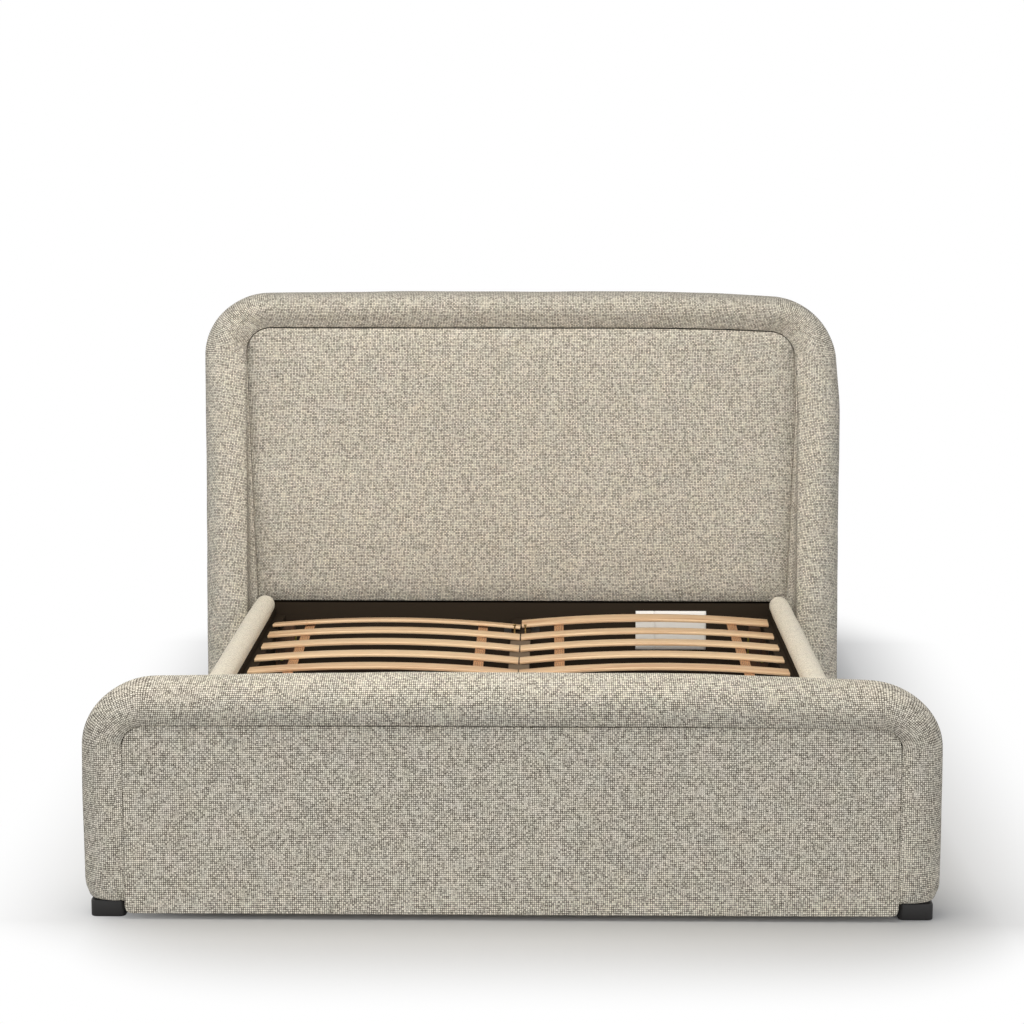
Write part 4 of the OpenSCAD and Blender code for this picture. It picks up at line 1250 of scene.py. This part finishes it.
def floor_finish():
    """Grey floor round the bed that glows plain white further off, as the camera sees it. The grey
    holds the real cast shade and is itself painted shadow, in a zone shaped to the bed and
    shifted to its right.
    """
    finish, tree, shader = new_material("pale_floor")
    plus, minus, times = arithmetic(tree)
    feed(tree, shader, {"Base Color": colours().floor, "Roughness": 0.7})
    glow = put(tree, "ShaderNodeEmission", {"Color": WHITE, "Strength": 1.0})[0]
    at = separate(tree, put(tree, "ShaderNodeTexCoord")["Object"])
    # Edge of the painted shadow: how far a place lies past the bed, across its width about a line 0.08 m
    # right of its middle, and behind or before its two ends.
    across = maths(tree, "DIVIDE", maths(tree, "ABSOLUTE", minus(at[0], 0.08)), HALF_W * 1.06)
    along = maths(tree, "MAXIMUM", fade_from(tree, at[1], 2.0, 0.4),
                  fade_from(tree, at[1], FOOT_LOW[1], -1.0))
    beside = times(maths(tree, "POWER", maths(tree, "MINIMUM", across, 1.0), 6.0), 0.28)
    beside = plus(beside, fade_from(tree, across, 1.0, 0.9))
    # Share of plain white glow past the painted shadow.
    out_of_painted_shadow = ramp(tree, plus(along, beside), 0.0, 0.6)
    share = times(out_of_painted_shadow, put(tree, "ShaderNodeLightPath")["Is Camera Ray"])
    mixed = put(tree, "ShaderNodeMixShader", {0: share, 1: shader.outputs[0], 2: glow})[0]
    feed(tree, tree.nodes["Material Output"], {"Surface": mixed})
    return finish


def floor():
    bm = bmesh.new()
    bmesh.ops.create_grid(bm, x_segments=1, y_segments=1, size=FLOOR_REACH)
    mesh = bpy.data.meshes.new("floor")
    bm.to_mesh(mesh)
    bm.free()
    mesh.materials.append(floor_finish())
    floor_piece = add_object("floor", mesh)


def studio_world():
    """White where the camera looks. It lights the bed most from the viewer's side."""
    world = bpy.data.worlds.new("studio")
    bpy.context.scene.world = world
    world.use_nodes = True
    tree = world.node_tree
    tree.nodes.clear()
    seen = put(tree, "ShaderNodeLightPath")
    shows = maths(tree, "MAXIMUM", seen["Is Camera Ray"],
                  maths(tree, "MAXIMUM", seen["Is Glossy Ray"], seen["Is Transmission Ray"]))
    way = separate(tree, put(tree, "ShaderNodeTexCoord")["Generated"])
    level = maths(tree, "ADD", ramp(tree, way[2], -0.2, 0.9, 0.56, 0.16),
                  ramp(tree, maths(tree, "MULTIPLY", way[1], -1.0), 0.0, 1.0, 0.0, 0.90))
    soft = put(tree, "ShaderNodeBackground", {"Color": (0.985, 0.99, 1.0, 1), "Strength": level})[0]
    white = put(tree, "ShaderNodeBackground", {"Color": WHITE, "Strength": 1.0})[0]
    both = put(tree, "ShaderNodeMixShader", {0: shows, 1: soft, 2: white})[0]
    put(tree, "ShaderNodeOutputWorld", {"Surface": both})


# Name, place, turn in degrees, size, power and colour.
LAMPS = (
    ("overhead", (-0.3, -1.25, 3.0), (26, -5, 0), (2.4, 1.8), 69.0, (1.0, 0.95, 0.87)),
    ("left_fill", (-3.4, -2.2, 2.4), (58, 0, -62), (2.2, 2.0), 3.0, (1, 1, 1)),
)


def lamps():
    for name, place, turn, size, power, tone in LAMPS:
        lamp = bpy.data.lights.new(name, "AREA")
        lamp.shape = "RECTANGLE"
        lamp.size, lamp.size_y = size
        lamp.energy = power
        lamp.color = tone
        made = add_object(name, lamp)
        made.location = place
        made.rotation_euler = [radians(a) for a in turn]


def camera():
    """Stands before the foot end, a little to the right, and looks slightly down."""
    data = bpy.data.cameras.new("camera")
    data.lens = 86.06
    data.sensor_width = 36.0
    made = add_object("camera", data)
    made.location = (0.089, -6.659, 1.822)
    made.rotation_euler = (radians(90 - 8.82), 0, radians(0.897))
    bpy.context.scene.camera = made


class BED_OT_stage(bpy.types.Operator):
    """Sets up the floor, the lamps, the world and the camera"""
    bl_idname = "bed.stage"
    bl_label = "Stage"

    def execute(self, context):
        context.scene.view_settings.view_transform = "Standard"
        floor()
        studio_world()
        lamps()
        camera()
        return {"FINISHED"}


class BED_PT_panel(bpy.types.Panel):
    """Sizes, colours and build steps of the bed"""
    bl_idname = "BED_PT_panel"
    bl_label = "Sleigh bed"
    bl_space_type = "VIEW_3D"
    bl_region_type = "UI"
    bl_category = "Bed"

    def draw(self, context):
        for group in (context.scene.bed_sizes, context.scene.bed_colours):
            box = self.layout.box()
            for key in group.__annotations__:
                box.prop(group, key)
        for step in STEPS:
            self.layout.operator(step.bl_idname)


STEPS = (BED_OT_stage, BED_OT_headboard, BED_OT_footboard, BED_OT_side_rails, BED_OT_slats,
         BED_OT_fittings)
CLASSES = (BedSizes, BedColours, *STEPS, BED_PT_panel)


def register():
    for cls in CLASSES:
        bpy.utils.register_class(cls)
    bpy.types.Scene.bed_sizes = bpy.props.PointerProperty(type=BedSizes)
    bpy.types.Scene.bed_colours = bpy.props.PointerProperty(type=BedColours)


def unregister():
    del bpy.types.Scene.bed_sizes
    del bpy.types.Scene.bed_colours
    for cls in reversed(CLASSES):
        bpy.utils.unregister_class(cls)


def main():
    register()
    for step in STEPS:
        getattr(bpy.ops.bed, step.bl_idname.split(".")[1])()


if __name__ == "__main__":
    main()
